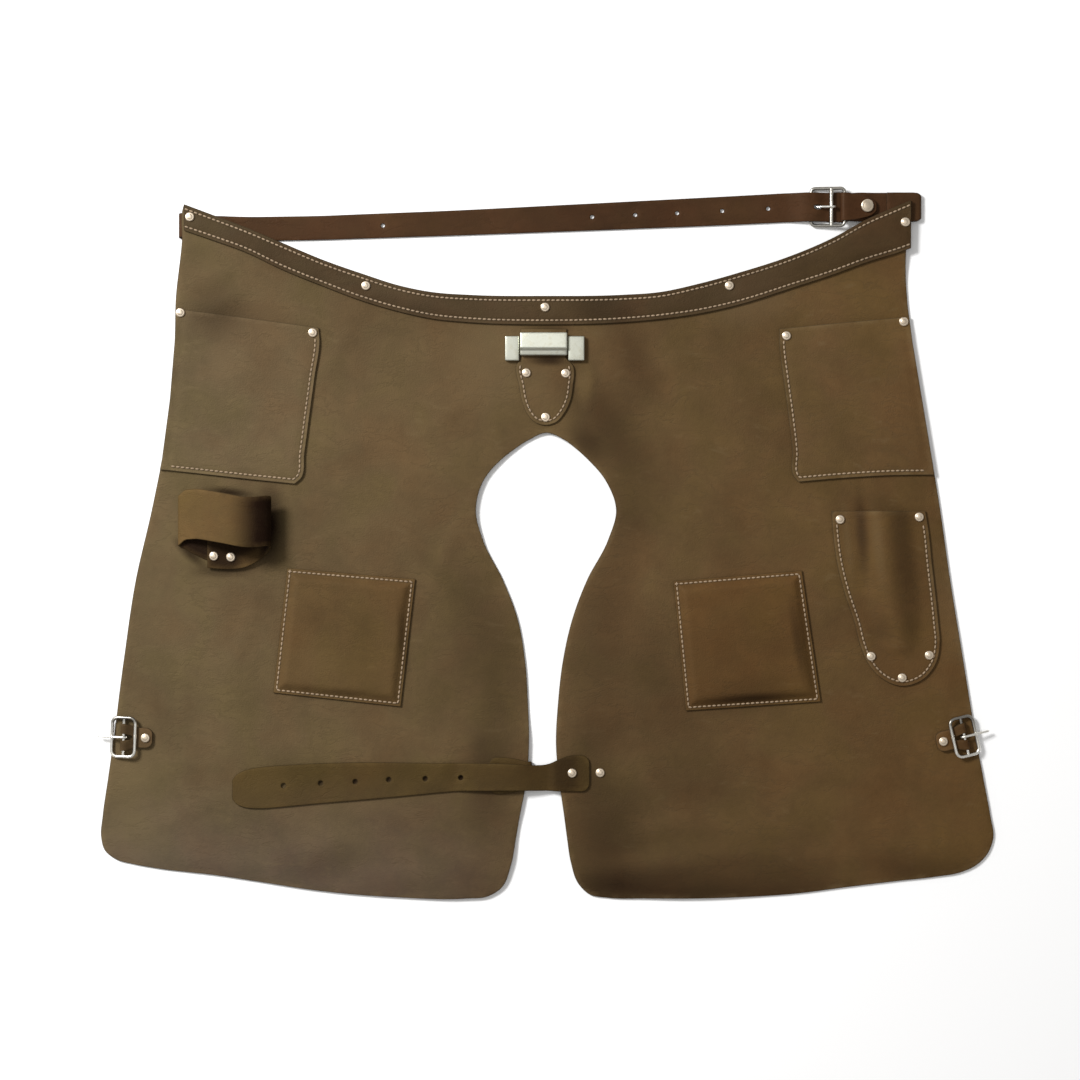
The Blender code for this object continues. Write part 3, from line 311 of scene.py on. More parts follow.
# Rivets: place, the leather layers under the cap (0 inside the hammer loop), its radius and its height
Rivet = namedtuple("Rivet", "name x y layers radius rise", defaults=(2, 4.7, 2.0))
RIVETS = records(
    Rivet,
    ("waist_1", -355, 325), ("waist_2", -180, 257), ("waist_3", -1, 235.5), ("waist_4", 183, 257),
    ("waist_5", 358, 320), ("pocket_1", -365, 230), ("pocket_2", -233, 210), ("pocket_3", 240, 207),
    ("pocket_4", 357, 221), ("tab_1", -19.7, 170), ("tab_2", 19.5, 169.5), ("tab_3", -0.5, 125.5),
    ("sheath_1", 293.5, 23.5), ("sheath_2", 372.5, 26), ("sheath_3", 324.5, -113), ("sheath_4", 382.5, -112),
    ("sheath_5", 355.5, -134.5), ("loop_1", -331.5, -13, 0), ("loop_2", -314.5, -14, 0),
    ("strap_1", 26, -229.5), ("strap_2", 54, -229.5, 1), ("strap_3", -41, -232, 2, 4.0, 1.0),
)
BELT_RIVET = Rivet("belt", 320.5, 336.5, 0, 6.6, 2.2)
BELT_RIVET_FOOT, BELT_RIVET_LEAN = 7.6, 0.15
CHAPE_RIVET_RADIUS, CHAPE_RIVET_RISE = 4.7, 2.2

# A strap gets a new row of points once it has turned or widened by this much
ROW_TURN = math.radians(13)
ROW_WIDENING = 1.4

# Camera straight above the apron, as the photograph was taken
CAMERA_SPOT = (-0.006, 0.003, 3.0)
CAMERA_LENS = 100.0
SENSOR = 36.0
FLOOR_REACH, FLOOR_HEIGHT = 14.0, -0.0004


def colour_setting(name, description, colour):
    return FloatVectorProperty(name=name, description=description, subtype="COLOR", size=3, min=0, max=1,
                               default=colour)


def length_setting(name, description, length, least, most):
    return FloatProperty(name=name, description=description, subtype="DISTANCE", unit="LENGTH", min=least, max=most,
                         default=length)


class LeatherSettings(bpy.types.PropertyGroup):
    panel_colour: colour_setting("Panel colour", "Oiled leather of the panel, pockets, patches and sheath",
                                 (0.0970, 0.0680, 0.0335))
    band_colour: colour_setting("Band colour", "Darker leather of the waistband", (0.0525, 0.0350, 0.0178))
    strap_colour: colour_setting("Strap colour", "Olive leather of the leg straps", (0.0600, 0.0375, 0.0120))
    belt_colour: colour_setting("Belt colour", "Reddish leather of the waist belt and its chape",
                                (0.0480, 0.0215, 0.0088))
    grain_size: length_setting("Grain size", "Width of one pebble of the leather's grain", 0.0013, 0.0003, 0.004)
    wear: FloatProperty(name="Wear", description="How far creases and scuffs show in the leather's colour",
                        subtype="FACTOR", min=0, max=1, default=0.5)


class StitchSettings(bpy.types.PropertyGroup):
    thread_colour: colour_setting("Thread colour", "Waxed thread of every seam", (0.28, 0.20, 0.125))
    pitch: length_setting("Stitch pitch", "Distance from one stitch to the next", 0.0048, 0.002, 0.01)
    thickness: length_setting("Thread thickness", "Width of the thread", 0.0020, 0.0003, 0.003)


class HardwareSettings(bpy.types.PropertyGroup):
    metal_colour: colour_setting("Metal colour", "Nickel plate of the rivets, buckles and magnet bar",
                                 (0.90, 0.88, 0.81))
    rivet_sides: IntProperty(name="Rivet sides", description="Faces round one rivet cap", min=12, max=64, default=28)


class StageSettings(bpy.types.PropertyGroup):
    floor_colour: colour_setting("Floor colour", "The plain pale floor", (0.96, 0.96, 0.96))
    key_power: FloatProperty(name="Key light", description="Power of the soft light at the upper left",
                             unit="POWER", min=0, max=500, default=118.0)
    fill: FloatProperty(name="Fill light", description="Strength of the even light from all round",
                        min=0, max=3, default=0.44)


# Curves and surfaces


def smooth_path(points, step):
    """Points about `step` apart on a smooth curve through `points`."""
    given = np.array(points, float)
    along = np.concatenate([[0.0], np.cumsum(np.linalg.norm(np.diff(given, axis=0), axis=1))])
    slope = np.gradient(given, along, axis=0)
    path = [given[0]]
    for i in range(len(given) - 1):
        span = along[i + 1] - along[i]
        count = max(1, round(span / step))
        for k in range(1, count + 1):
            t = k / count
            path.append(
                (2 * t**3 - 3 * t**2 + 1) * given[i]
                + (t**3 - 2 * t**2 + t) * span * slope[i]
                + (3 * t**2 - 2 * t**3) * given[i + 1]
                + (t**3 - t**2) * span * slope[i + 1]
            )
    return np.array(path)


def smooth_step(value):
    value = np.clip(value, 0.0, 1.0)
    return value * value * (3 - 2 * value)


def distance_to_segment(x, y, start, end):
    run = (end[0] - start[0], end[1] - start[1])
    length = max(run[0] ** 2 + run[1] ** 2, 1e-12)
    share = np.clip(((x - start[0]) * run[0] + (y - start[1]) * run[1]) / length, 0.0, 1.0)
    return np.hypot(x - start[0] - share * run[0], y - start[1] - share * run[1])


def distance_to_path(x, y, path):
    near = np.full(np.shape(x), np.inf)
    for a, b in zip(path[:-1], path[1:]):
        near = np.minimum(near, distance_to_segment(x, y, a, b))
    return near


def distance_to_seams(x, y, seams, far):
    """The distance to the nearest of some seams, and no more than `far`."""
    return np.minimum.reduce([np.full(np.shape(x), far), *(distance_to_path(x, y, seam) for seam in seams)])


def closed(outline):
    return np.concatenate([outline, outline[:1]])


def is_inside(x, y, outline):
    inside = np.zeros(np.shape(x), bool)
    for a, b in zip(outline, np.roll(outline, -1, axis=0)):
        if a[1] != b[1]:
            crosses = (a[1] > y) != (b[1] > y)
            inside ^= crosses & (x < a[0] + (y - a[1]) * (b[0] - a[0]) / (b[1] - a[1]))
    return inside


def plateau(x, y, start, end, reach, ramp):
    """1 within `reach` of a segment, falling softly to 0 over `ramp`."""
    return smooth_step((reach + ramp - distance_to_segment(x, y, start, end)) / ramp)


NOISE_CELLS = 64


def soft_noise(x, y, size, seed):
    """Smooth uneven values from 0 to 1, in lumps about `size` mm across."""
    grid = np.random.default_rng(seed).random((NOISE_CELLS, NOISE_CELLS))
    u, v = np.asarray(x, float) / size + 31.3, np.asarray(y, float) / size + 32.7
    i, j = np.floor(u).astype(int), np.floor(v).astype(int)
    fu, fv = smooth_step(u - i), smooth_step(v - j)

    def at(di, dj):
        return grid[(i + di) % NOISE_CELLS, (j + dj) % NOISE_CELLS]

    low = at(0, 0) * (1 - fu) + at(1, 0) * fu
    high = at(0, 1) * (1 - fu) + at(1, 1) * fu
    return low * (1 - fv) + high * fv


def inset(path, distance):
    """The path moved to its left by a distance, mitred at its corners."""
    path = np.array(path, float)
    run = np.diff(path, axis=0)
    run /= np.linalg.norm(run, axis=1)[:, None]
    before, after = np.concatenate([run[:1], run]), np.concatenate([run, run[-1:]])
    mean = before + after
    mean /= np.linalg.norm(mean, axis=1)[:, None]
    half = np.clip(np.sum(mean * after, axis=1), 0.35, 1)
    left = np.stack([-mean[:, 1], mean[:, 0]], axis=1)
    return path + left * (distance / half)[:, None]


# Heights of the layers

ONE_LAYER = 2.75
STRAP_REACH, STRAP_RAMP = 24, 44
LEFT_STRAP_TIP = LEFT_STRAP_EDGE - LEFT_STRAP_REACH
Place = namedtuple("Place", "start end reach ramp")
# Free of small creases: where a rigid piece or a strap lies close on the panel or under it
STILL = records(
    Place,
    ((-372, 6), (-270, 6), 34, 22), ((-40, 198), (38, 198), 22, 22), ((-440, -194), (-396, -194), 24, 22),
    ((396, -198), (440, -188), 24, 22), ((-66, -232), (60, -231), 22, 18), ((322, 336), (372, 336), 21, 22),
)
# Raised: where the waist belt and its chape lie under the panel, one layer and then the fold's second
OVER_BELT = records(
    Place,
    ((-364, 318), (-262, 315), 16, 62), ((-364, 318), (-326, 319), 18, 58),
    ((322, 336), (372, 336), 21, 62), ((338, 336), (372, 336), 23, 58),
)


def left_strap_y(x):
    return LEFT_STRAP_Y + LEFT_STRAP_SLOPE * (x - LEFT_STRAP_EDGE)


def folds(x, y, table):
    height = 0.0
    for fold in table:
        turn = math.radians(fold.turn)
        dx, dy = x - fold.x, y - fold.y
        along = (dx * math.cos(turn) + dy * math.sin(turn)) / fold.length
        across = (dy * math.cos(turn) - dx * math.sin(turn)) / fold.width
        height = height + fold.height * np.clip(1 - along**2 - across**2, 0, 1) ** 2
    return height


def calm(x, y):
    """1 on the free leather and 0 in the still places."""
    return 1 - np.maximum.reduce([plateau(x, y, *place) for place in STILL])


def lift(x, y):
    """How far the panel's underside stands off the surface."""
    height = ONE_LAYER * sum(plateau(x, y, *place) for place in OVER_BELT)
    strap_tip = (LEFT_STRAP_TIP, left_strap_y(LEFT_STRAP_TIP))
    height = height + ON_HIDE * plateau(x, y, (-10, LEFT_STRAP_Y), strap_tip, STRAP_REACH, STRAP_RAMP)
    height = height + folds(x, y, FOLDS)
    ripple = RIPPLE_LARGE * soft_noise(x, y, 88, 3) + RIPPLE_SMALL * soft_noise(x, y, 37, 8)
    return height + calm(x, y) * (np.maximum(ripple - RIPPLE_FLOOR, 0) + folds(x, y, CREASES))


def on_panel(x, y):
    return lift(x, y) + HIDE + GAP


# Leather reaches its full puff this far from a seam or a rivet's rim
PUFF_REACH, RIVET_REACH = 6.5, 8


def puffed(seams, rivets, rise):
    """A height over the panel that is held down at seams and rivets and stands a little off between."""

    def surface(x, y):
        puff = rise * smooth_step(distance_to_seams(x, y, seams, np.inf) / PUFF_REACH)
        for rivet in rivets:
            puff = puff * smooth_step((np.hypot(x - rivet.x, y - rivet.y) - rivet.radius) / RIVET_REACH)
        return on_panel(x, y) + puff

    return surface


def rivets_named(start):
    return [rivet for rivet in RIVETS if rivet.name.startswith(start)]


# Sheets of leather

# Rows of a mesh lie this near to each other, as a share of the step along them
ROW_PITCH = 0.87
# Rows beside a seam, in mm from it
SEAM_ROWS = (-3.2, -1.4, 0.0, 1.4, 3.2)
# A rim is rounded over in this many steps wherever it turns by more than this angle
RIM_ROUNDING, STRAP_ROUNDING, RIM_STEPS, RIM_ANGLE = 0.45, 0.5, 2, 55
BLOCK_ROUNDING, BLOCK_STEPS, BLOCK_ANGLE = 1.3, 4, 50
# Notes on a mesh read this distance where an edge or a seam is farther away
FAR = 40.0
# The dark inside of the strap's holes
HOLE_SHADOWS = records(Fold, *((hole.x, hole.y, 4.4, 4.4, 0, 1.2) for hole in LEG_STRAP_HOLES))


def lattice(outline, step, zones=()):
    """Points in rows over an outline, closer together inside the zones."""
    if zones:
        points = lattice(outline, step)
        for x, y, reach in zones:
            points = points[np.hypot(points[:, 0] - x, points[:, 1] - y) > reach]
            around = np.array([(x - reach, y - reach), (x + reach, y + reach)])
            fine = lattice(around, SMALL_STEP)
            points = np.concatenate([points, fine[np.hypot(fine[:, 0] - x, fine[:, 1] - y) < reach - 1]])
        return points
    low, high = outline.min(axis=0), outline.max(axis=0)
    rows = []
    for row, y in enumerate(np.arange(low[1], high[1], step * ROW_PITCH)):
        rows += [(x, y) for x in np.arange(low[0] + 0.5 * (row % 2) * step, high[0], step)]
    return np.array(rows)


def filled(outline, step, guides=(), holes=(), inner=None, zones=()):
    """Points and triangles that fill an outline, finer beside the guides, round the holes and in the zones."""
    area = np.sum(outline[:, 0] * np.roll(outline[:, 1], -1) - outline[:, 1] * np.roll(outline[:, 0], -1))
    if area < 0:
        outline = outline[::-1]
    if inner is None:
        inner = lattice(outline, step, zones)
        near = distance_to_path(*inner.T, closed(outline))
        keep = is_inside(*inner.T, outline) & (near > 0.55 * step)
    else:
        keep = np.ones(len(inner), bool)
    for guide in guides:
        keep &= distance_to_path(*inner.T, guide) > 0.8 * step + 1.5
    for hole in holes:
        keep &= ~is_inside(*inner.T, hole) & (distance_to_path(*inner.T, closed(hole)) > 0.4 * step)
    rows = [inner[keep]]
    for guide in guides:
        for distance in SEAM_ROWS:
            row = inset(guide, distance)
            gap = distance_to_path(*row.T, guide)
            fits = is_inside(*row.T, outline) & (distance_to_path(*row.T, closed(outline)) > 0.8)
            rows.append(row[fits & (gap > abs(distance) * 0.85)])
    rings, start, edges = [outline], len(outline), []
    for hole in holes:
        edges += [(start + k, start + (k + 1) % len(hole)) for k in range(len(hole))]
        start += len(hole)
        rings.append(hole)
    points = [Vector(p) for p in np.concatenate([*rings, *rows])]
    places, _, faces, *_ = delaunay_2d_cdt(points, edges, [list(range(len(outline)))], 1, 1e-4)
    places = np.array([tuple(p) for p in places])
    faces = np.array([tuple(face) for face in faces])
    middle = places[faces].mean(axis=1)
    for hole in holes:
        outside = ~is_inside(*middle.T, hole)
        faces, middle = faces[outside], middle[outside]
    a, b, c = (places[faces[:, k]] for k in range(3))
    turned = (b[:, 0] - a[:, 0]) * (c[:, 1] - a[:, 1]) - (b[:, 1] - a[:, 1]) * (c[:, 0] - a[:, 0]) < 0
    faces[turned] = faces[turned][:, ::-1]
    return places, faces


def rim_edges(faces):
    directed = {(a, b) for face in faces.tolist() for a, b in zip(face, face[1:] + face[:1])}
    return [edge for edge in directed if edge[::-1] not in directed]


def in_scene(name, data):
    obj = bpy.data.objects.new(name, data)
    bpy.context.scene.collection.objects.link(obj)
    return obj


def piece_from(name, mesh_data, material, body=APRON):
    obj = in_scene(name, mesh_data)
    mesh_data.materials.clear()
    mesh_data.materials.append(material)
    mesh_data.shade_smooth()
    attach(obj, body)
    return obj


def flattened(obj, name):
    """The object's shape with its modifiers applied, as a mesh of its own."""
    bpy.context.view_layer.update()
    data = bpy.data.meshes.new_from_object(obj.evaluated_get(bpy.context.evaluated_depsgraph_get()))
    data.name = name
    old = obj.data
    bpy.data.objects.remove(obj, do_unlink=True)
    if isinstance(old, bpy.types.Mesh) and not old.users:
        bpy.data.meshes.remove(old)
    return data


def add_note(data, note, values):
    layer = data.attributes.new(note, "FLOAT", "POINT")
    layer.data.foreach_set("value", np.asarray(values, np.float32))


def shell(name, faces, under, over, notes, material, rounding=RIM_ROUNDING, steps=RIM_STEPS, angle=RIM_ANGLE):
    """A closed form between two layers of points; what turns by more than `angle` degrees is rounded over."""
    count = len(under)
    rim = sorted(rim_edges(faces))
    sides = [(a, b, b + count, a + count) for a, b in rim]
    data = bpy.data.meshes.new(name)
    data.from_pydata((np.concatenate([under, over]) * MM).tolist(), [],
                     [*faces[:, ::-1].tolist(), *(faces + count).tolist(), *sides])
    for note, values in notes.items():
        add_note(data, note, np.tile(values, 2))
    data.update()
    raw = in_scene(name + "_raw", data)
    bevel = raw.modifiers.new("rounded", "BEVEL")
    bevel.width, bevel.segments = rounding * MM, steps
    bevel.limit_method, bevel.angle_limit = "ANGLE", math.radians(angle)
    return piece_from(name, flattened(raw, name), material)


def leaf_notes(x, y, outline, seams):
    """How far each point is from its edge and seams, and its stains and painted shade and light."""
    return {"edge": distance_to_seams(x, y, (closed(outline),), FAR),
            "seam": distance_to_seams(x, y, seams, FAR),
            "shade": np.clip(folds(x, y, STAINS_AND_PAINTED_SHADE + HOLE_SHADOWS), -1, 1)}


def leather_leaf(name, outline, surface, material, step=PIECE_STEP, seams=(), wall=None, zones=()):
    """A leather piece cut to an outline and laid on `surface`; `wall` gives its thickness."""
    places, faces = filled(outline, step, seams, zones=zones)
    x, y = places.T
    low = surface(x, y)
    high = low + (wall(x, y) if wall else HIDE)
    under, over = np.column_stack([x, y, low]), np.column_stack([x, y, high])
    return shell(name, faces, under, over, leaf_notes(x, y, outline, seams), material)


def flat_area(outline):
    x, y = outline.T
    return abs(np.sum(x * np.roll(y, -1) - y * np.roll(x, -1))) / 2 * MM * MM


def declare_leaf(outline, nodes, extra_width=0.0):
    """Hides the solids that the piece stands for; the cut's size is worked out but not used."""
    low, high = outline.min(axis=0), outline.max(axis=0)
    width, length = (high - low) * MM
    width += extra_width * MM
    area = min(flat_area(outline) + extra_width * MM * length * 0.5, width * length)
    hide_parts(*nodes)


# Straps


class Run:
    """A strap's middle layer: rows of x, y, z and width, read by the distance s along it."""

    def __init__(self, rows, step=1.4):
        self.line = smooth_path(rows, step)
        heights = [row[2] for row in rows]
        self.line[:, 2] = np.clip(self.line[:, 2], min(heights), max(heights))
        run = np.diff(self.line[:, :3], axis=0)
        run[:, 1] = 0
        self.s = np.concatenate([[0.0], np.cumsum(np.linalg.norm(run, axis=1))])
        tangent = np.gradient(self.line[:, (0, 2)], self.s, axis=0)
        tangent /= np.linalg.norm(tangent, axis=1)[:, None]
        self.normal = np.column_stack([-tangent[:, 1], tangent[:, 0]])

    def stops(self, step):
        """Distances along it, close together where it bends or changes width."""
        angle = np.unwrap(np.arctan2(self.normal[:, 1], self.normal[:, 0]))
        found = [0]
        for k in range(1, len(self.s)):
            last = found[-1]
            far = self.s[k] - self.s[last] >= step
            bent = abs(angle[k] - angle[last]) > ROW_TURN
            wider = abs(self.line[k, 3] - self.line[last, 3]) > ROW_WIDENING
            if far or bent or wider:
                found.append(k)
        found[-1] = len(self.s) - 1
        return self.s[np.unique(found)]

    def grid(self, step):
        """Its flat outline and the rows of points inside it, in distances along and across."""
        stops = self.stops(step)
        half = self.at(stops, 3) / 2
        columns = max(3, round(float(half.max()) * 2 / step))
        shares = np.linspace(-1, 1, columns + 1)[1:-1]
        start = np.column_stack([np.zeros(columns - 1), shares[::-1] * half[0]])
        end = np.column_stack([np.full(columns - 1, stops[-1]), shares * half[-1]])
        lower, upper = np.column_stack([stops, -half]), np.column_stack([stops, half])
        inner = [(s, h * share) for s, h in zip(stops[1:-1], half[1:-1]) for share in shares]
        return np.concatenate([lower, end, upper[::-1], start]), np.array(inner)

    def at(self, s, column):
        return np.interp(s, self.s, self.line[:, column])

    def s_at(self, x, first, last):
        """The distance along it where it passes x, between two shares of its length."""
        part = slice(int(first * len(self.s)), int(last * len(self.s)))
        xs, ss = self.line[part, 0], self.s[part]
        order = np.argsort(xs)
        return float(np.interp(x, xs[order], ss[order]))

    def place(self, s, t, off, seat=None):
        """Points a distance `off` from the middle layer, t across the strap."""
        x, y, z = self.at(s, 0), self.at(s, 1) + t, self.at(s, 2)
        if seat is not None:
            z = np.maximum(z, seat(x, y))
        nx = np.interp(s, self.s, self.normal[:, 0])
        nz = np.interp(s, self.s, self.normal[:, 1])
        size = np.hypot(nx, nz)
        return np.column_stack([x + nx / size * off, y, z + nz / size * off])


def circle(s, t, radius, sides=14):
    angles = np.linspace(0, 2 * math.pi, sides, endpoint=False)
    return np.column_stack([s + radius * np.cos(angles), t + radius * np.sin(angles)])


def slot(s0, s1, half):
    """A long hole with round ends."""
    angles = np.radians(np.linspace(-90, 90, 7))
    right = np.column_stack([s1 - half + half * np.cos(angles), half * np.sin(angles)])
    left = np.column_stack([s0 + half - half * np.cos(angles), -half * np.sin(angles)])
    return np.concatenate([right, left])


def strap_piece(name, run, thickness, material, holes=(), seat=None, step=PIECE_STEP, place=None, shade=None):
    outline, inner = run.grid(step)
    places, faces = filled(outline, step, (), holes, inner)
    s, t = places.T
    under = run.place(s, t, -thickness / 2, seat)
    over = run.place(s, t, thickness / 2, seat)
    if place is not None:
        under, over = (np.array([(place @ Vector(p * MM)) / MM for p in side]) for side in (under, over))
    notes = {"edge": distance_to_seams(s, t, [closed(ring) for ring in (outline, *holes)], FAR),
             "seam": np.full(len(s), FAR)}
    if shade:
        notes["shade"] = shade(run.at(s, 0), t, run.at(s, 2))
    return shell(name, faces, under, over, notes, material, STRAP_ROUNDING), outline


def declare_strap(obj, run, outline, nodes):
    length, width = float(run.s[-1]) * MM, float(run.line[:, 3].max()) * MM
    min(flat_area(outline), width * length)
    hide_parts(*nodes)


def arc(centre_x, centre_z, radius, start, end, count):
    angles = np.radians(np.linspace(start, end, count))
    return [(centre_x + radius * math.cos(a), centre_z + radius * math.sin(a)) for a in angles]


# Nodes


class Value:
    """A socket that carries a number, so that shader maths reads as Python."""

    def __init__(self, graph, socket):
        self.graph, self.socket = graph, socket

    def _maths(self, operation, other=None, flipped=False, clamp=False):
        pair = {0: self} if other is None else {0: other, 1: self} if flipped else {0: self, 1: other}
        node = self.graph.add("ShaderNodeMath", {"operation": operation, "use_clamp": clamp}, pair)
        return Value(self.graph, node.outputs[0])

    def __add__(self, other):
        return self._maths("ADD", other)

    def __sub__(self, other):
        return self._maths("SUBTRACT", other)

    def __rsub__(self, other):
        return self._maths("SUBTRACT", other, flipped=True)

    def __mul__(self, other):
        return self._maths("MULTIPLY", other)

    def __truediv__(self, other):
        return self._maths("DIVIDE", other)

    __radd__, __rmul__ = __add__, __mul__

    def absolute(self):
        return self._maths("ABSOLUTE")

    def clamped(self):
        return self._maths("ADD", 0.0, clamp=True)

    def ramp(self, low, high):
        """0 below low, 1 above high, and straight between."""
        return ((self - low) / (high - low)).clamped()


class Graph:
    """Adds nodes to a tree: the settings first, then the values or links of the sockets."""

    def __init__(self, tree):
        self.tree = tree

    def add(self, kind, settings=None, sockets=None):
        node = self.tree.nodes.new(kind)
        for name, value in (settings or {}).items():
            setattr(node, name, value)
        self.fill(node, sockets or {})
        return node

    def fill(self, node, sockets):
        """Gives the node's sockets their values or links."""
        for key, value in sockets.items():
            value = value.socket if isinstance(value, Value) else value
            if isinstance(value, bpy.types.NodeSocket):
                self.tree.links.new(value, node.inputs[key])
            else:
                node.inputs[key].default_value = value

    def spot(self):
        """The place on the piece, in metres."""
        return self.add("ShaderNodeTexCoord").outputs["Object"]

    def bump(self, strength, distance, height):
        sockets = {"Strength": strength, "Distance": distance, "Height": height}
        return self.add("ShaderNodeBump", None, sockets).outputs[0]

    def noise(self, where, scale, detail=2.0, roughness=0.5):
        sockets = {"Vector": where, "Scale": scale, "Detail": detail, "Roughness": roughness}
        return Value(self, self.add("ShaderNodeTexNoise", None, sockets).outputs["Fac"])

    def cells(self, where, scale):
        return Value(self, self.add("ShaderNodeTexVoronoi", None, {"Vector": where, "Scale": scale}).outputs[0])

    def note(self, name):
        node = self.add("ShaderNodeAttribute", {"attribute_name": name})
        return Value(self, node.outputs["Fac"])

    def blend(self, factor, first, second, kind="MIX"):
        settings = {"data_type": "RGBA", "blend_type": kind}
        node = self.add("ShaderNodeMix", settings, {0: factor, 6: first, 7: second})
        return node.outputs[2]


def rgba(colour, times=1.0):
    return (*(min(1.0, c * times) for c in colour), 1.0)


def new_material(name):
    material = bpy.data.materials.new(name)
    material.use_nodes = True
    return material, Graph(material.node_tree), material.node_tree.nodes["Principled BSDF"]


def made_once(make):
    """A material is made the first time that its name is asked for."""

    def find_or_make(name, *rest, **options):
        return bpy.data.materials.get(name) or make(name, *rest, **options)

    return find_or_make


@made_once
def leather(name, colour, tone=(1.0, 1.0, 1.0), sheen=0.66, grain=1.0, gradient=0.0, redness=0.2):
    """Oiled leather: cloudy colour, pull-up creases, pebbled grain, worn rims and pressed seams, with painted shade:
    a fall-off towards the right, the shade note and the seams' grooves.
    """
    settings = bpy.context.scene.apron_leather
    colour = tuple(c * t for c, t in zip(colour, tone))
    material, graph, shader = new_material(name)
    spot = graph.spot()
    warp = graph.add("ShaderNodeTexNoise", None, {"Vector": spot, "Scale": 24.0, "Detail": 1.0})
    shifted = graph.add("ShaderNodeVectorMath", {"operation": "MULTIPLY_ADD"},
                        {0: warp.outputs["Color"], 1: (0.02, 0.02, 0.02), 2: spot}).outputs[0]
    cloud = graph.noise(spot, 6.5, 3.0, 0.55)
    mottle = graph.noise(shifted, 40.0, 4.0, 0.62)
    speck = graph.noise(spot, 270.0, 3.0, 0.6)
    light = ((cloud - 0.5) * 1.6 + (mottle - 0.5) * 1.1 + (speck - 0.5) * 0.4 + 0.5).clamped()
    base = graph.blend(light, rgba(colour, 0.74), rgba(colour, 1.26))
    hue = graph.noise(shifted, 16.0, 2.0, 0.6)
    base = graph.blend(hue.ramp(0.52, 0.34), base, rgba((0.97, 1.02, 0.92)), "MULTIPLY")
    base = graph.blend(hue.ramp(0.48, 0.68) * (0.5 + redness), base, rgba((1.0, 0.91, 0.88)), "MULTIPLY")
    # Painted shade: darker and warmer towards the right, as the light falls off across the apron
    if gradient:
        split = graph.add("ShaderNodeSeparateXYZ", None, {0: spot})
        across, along = Value(graph, split.outputs[0]), Value(graph, split.outputs[1])
        painted_dim = across.ramp(-0.40, 0.46) * gradient
        base = graph.blend(painted_dim, base, rgba((0.88, 0.62, 0.36)), "MULTIPLY")
        # A little bluer towards the lower left
        bluer_lower_left = along.ramp(-0.23, -0.33) * across.ramp(0.02, -0.16)
        base = graph.blend(bluer_lower_left, base, (0.0, 0.003, 0.013, 1.0), "ADD")

    stretched = graph.add("ShaderNodeMapping", None,
                          {0: shifted, 2: (0.0, 0.0, 0.6), 3: (1.0, 2.6, 1.0)}).outputs[0]
    fibre = graph.noise(stretched, 30.0, 4.0, 0.62)
    crease = (1 - (fibre - 0.5).absolute() * 30).clamped() * mottle.ramp(0.40, 0.62)
    scuff = fibre.ramp(0.62, 0.80)
    base = graph.blend(crease * (0.5 * settings.wear), base, rgba(colour, 0.5))
    base = graph.blend(scuff * (0.6 * settings.wear), base, rgba(colour, 1.6))

    # Stains and painted shade from the shade note darken towards a dark red-brown; below 0 the note paints light
    shade = graph.note("shade")
    base = graph.blend((shade * (mottle * 0.3 + 0.85)).clamped(), base, rgba((0.07, 0.03, 0.015)), "MULTIPLY")
    base = graph.blend((shade * -0.5).clamped(), base, rgba(colour, 1.5))
    edge, seam = graph.note("edge"), graph.note("seam")
    rubbed = (1 - edge / 5.5).clamped() * mottle.ramp(0.42, 0.62)
    base = graph.blend(rubbed * 0.36, base, rgba(colour, 1.6))
    base = graph.blend((1 - edge / 0.9).clamped() * 0.78, base, rgba(colour, 0.40))
    # Darker along the seams: partly the pressed leather's own colour, partly painted shade in the groove
    pressed = (1 - seam / 2.3).clamped()
    base = graph.blend(pressed * 0.6, base, rgba(colour, 0.45))

    rough = (mottle - 0.5) * 0.24 + (speck - 0.5) * 0.18 + sheen - scuff * 0.08
    pebble = graph.cells(spot, 1.0 / settings.grain_size)
    height = (pebble * 0.75 + mottle * 0.5 + speck * 0.5) * grain - crease * 0.7 - pressed * 0.9
    graph.fill(shader, {"Base Color": base, "Roughness": rough.clamped(), "Normal": graph.bump(0.6, 0.00042, height),
                        "Specular IOR Level": 0.14, "Specular Tint": (1.0, 0.80, 0.58, 1.0)})
    return material


def panel_leather():
    return leather("panel_oiled_leather", bpy.context.scene.apron_leather.panel_colour, gradient=0.85)


def toned_leather(name, tone):
    """The panel's leather in another tone, for a piece from another part of the hide."""
    return leather(name + "_oiled_leather", bpy.context.scene.apron_leather.panel_colour, tone, gradient=0.85)


def band_leather():
    colour = bpy.context.scene.apron_leather.band_colour
    return leather("band_dark_leather", colour, sheen=0.6, gradient=0.6, redness=0.5)


def strap_leather():
    colour = bpy.context.scene.apron_leather.strap_colour
    return leather("strap_olive_leather", colour, sheen=0.6, gradient=0.3, redness=0.1)


def belt_leather():
    colour = bpy.context.scene.apron_leather.belt_colour
    return leather("belt_red_leather", colour, sheen=0.54, grain=0.6, redness=0.5)


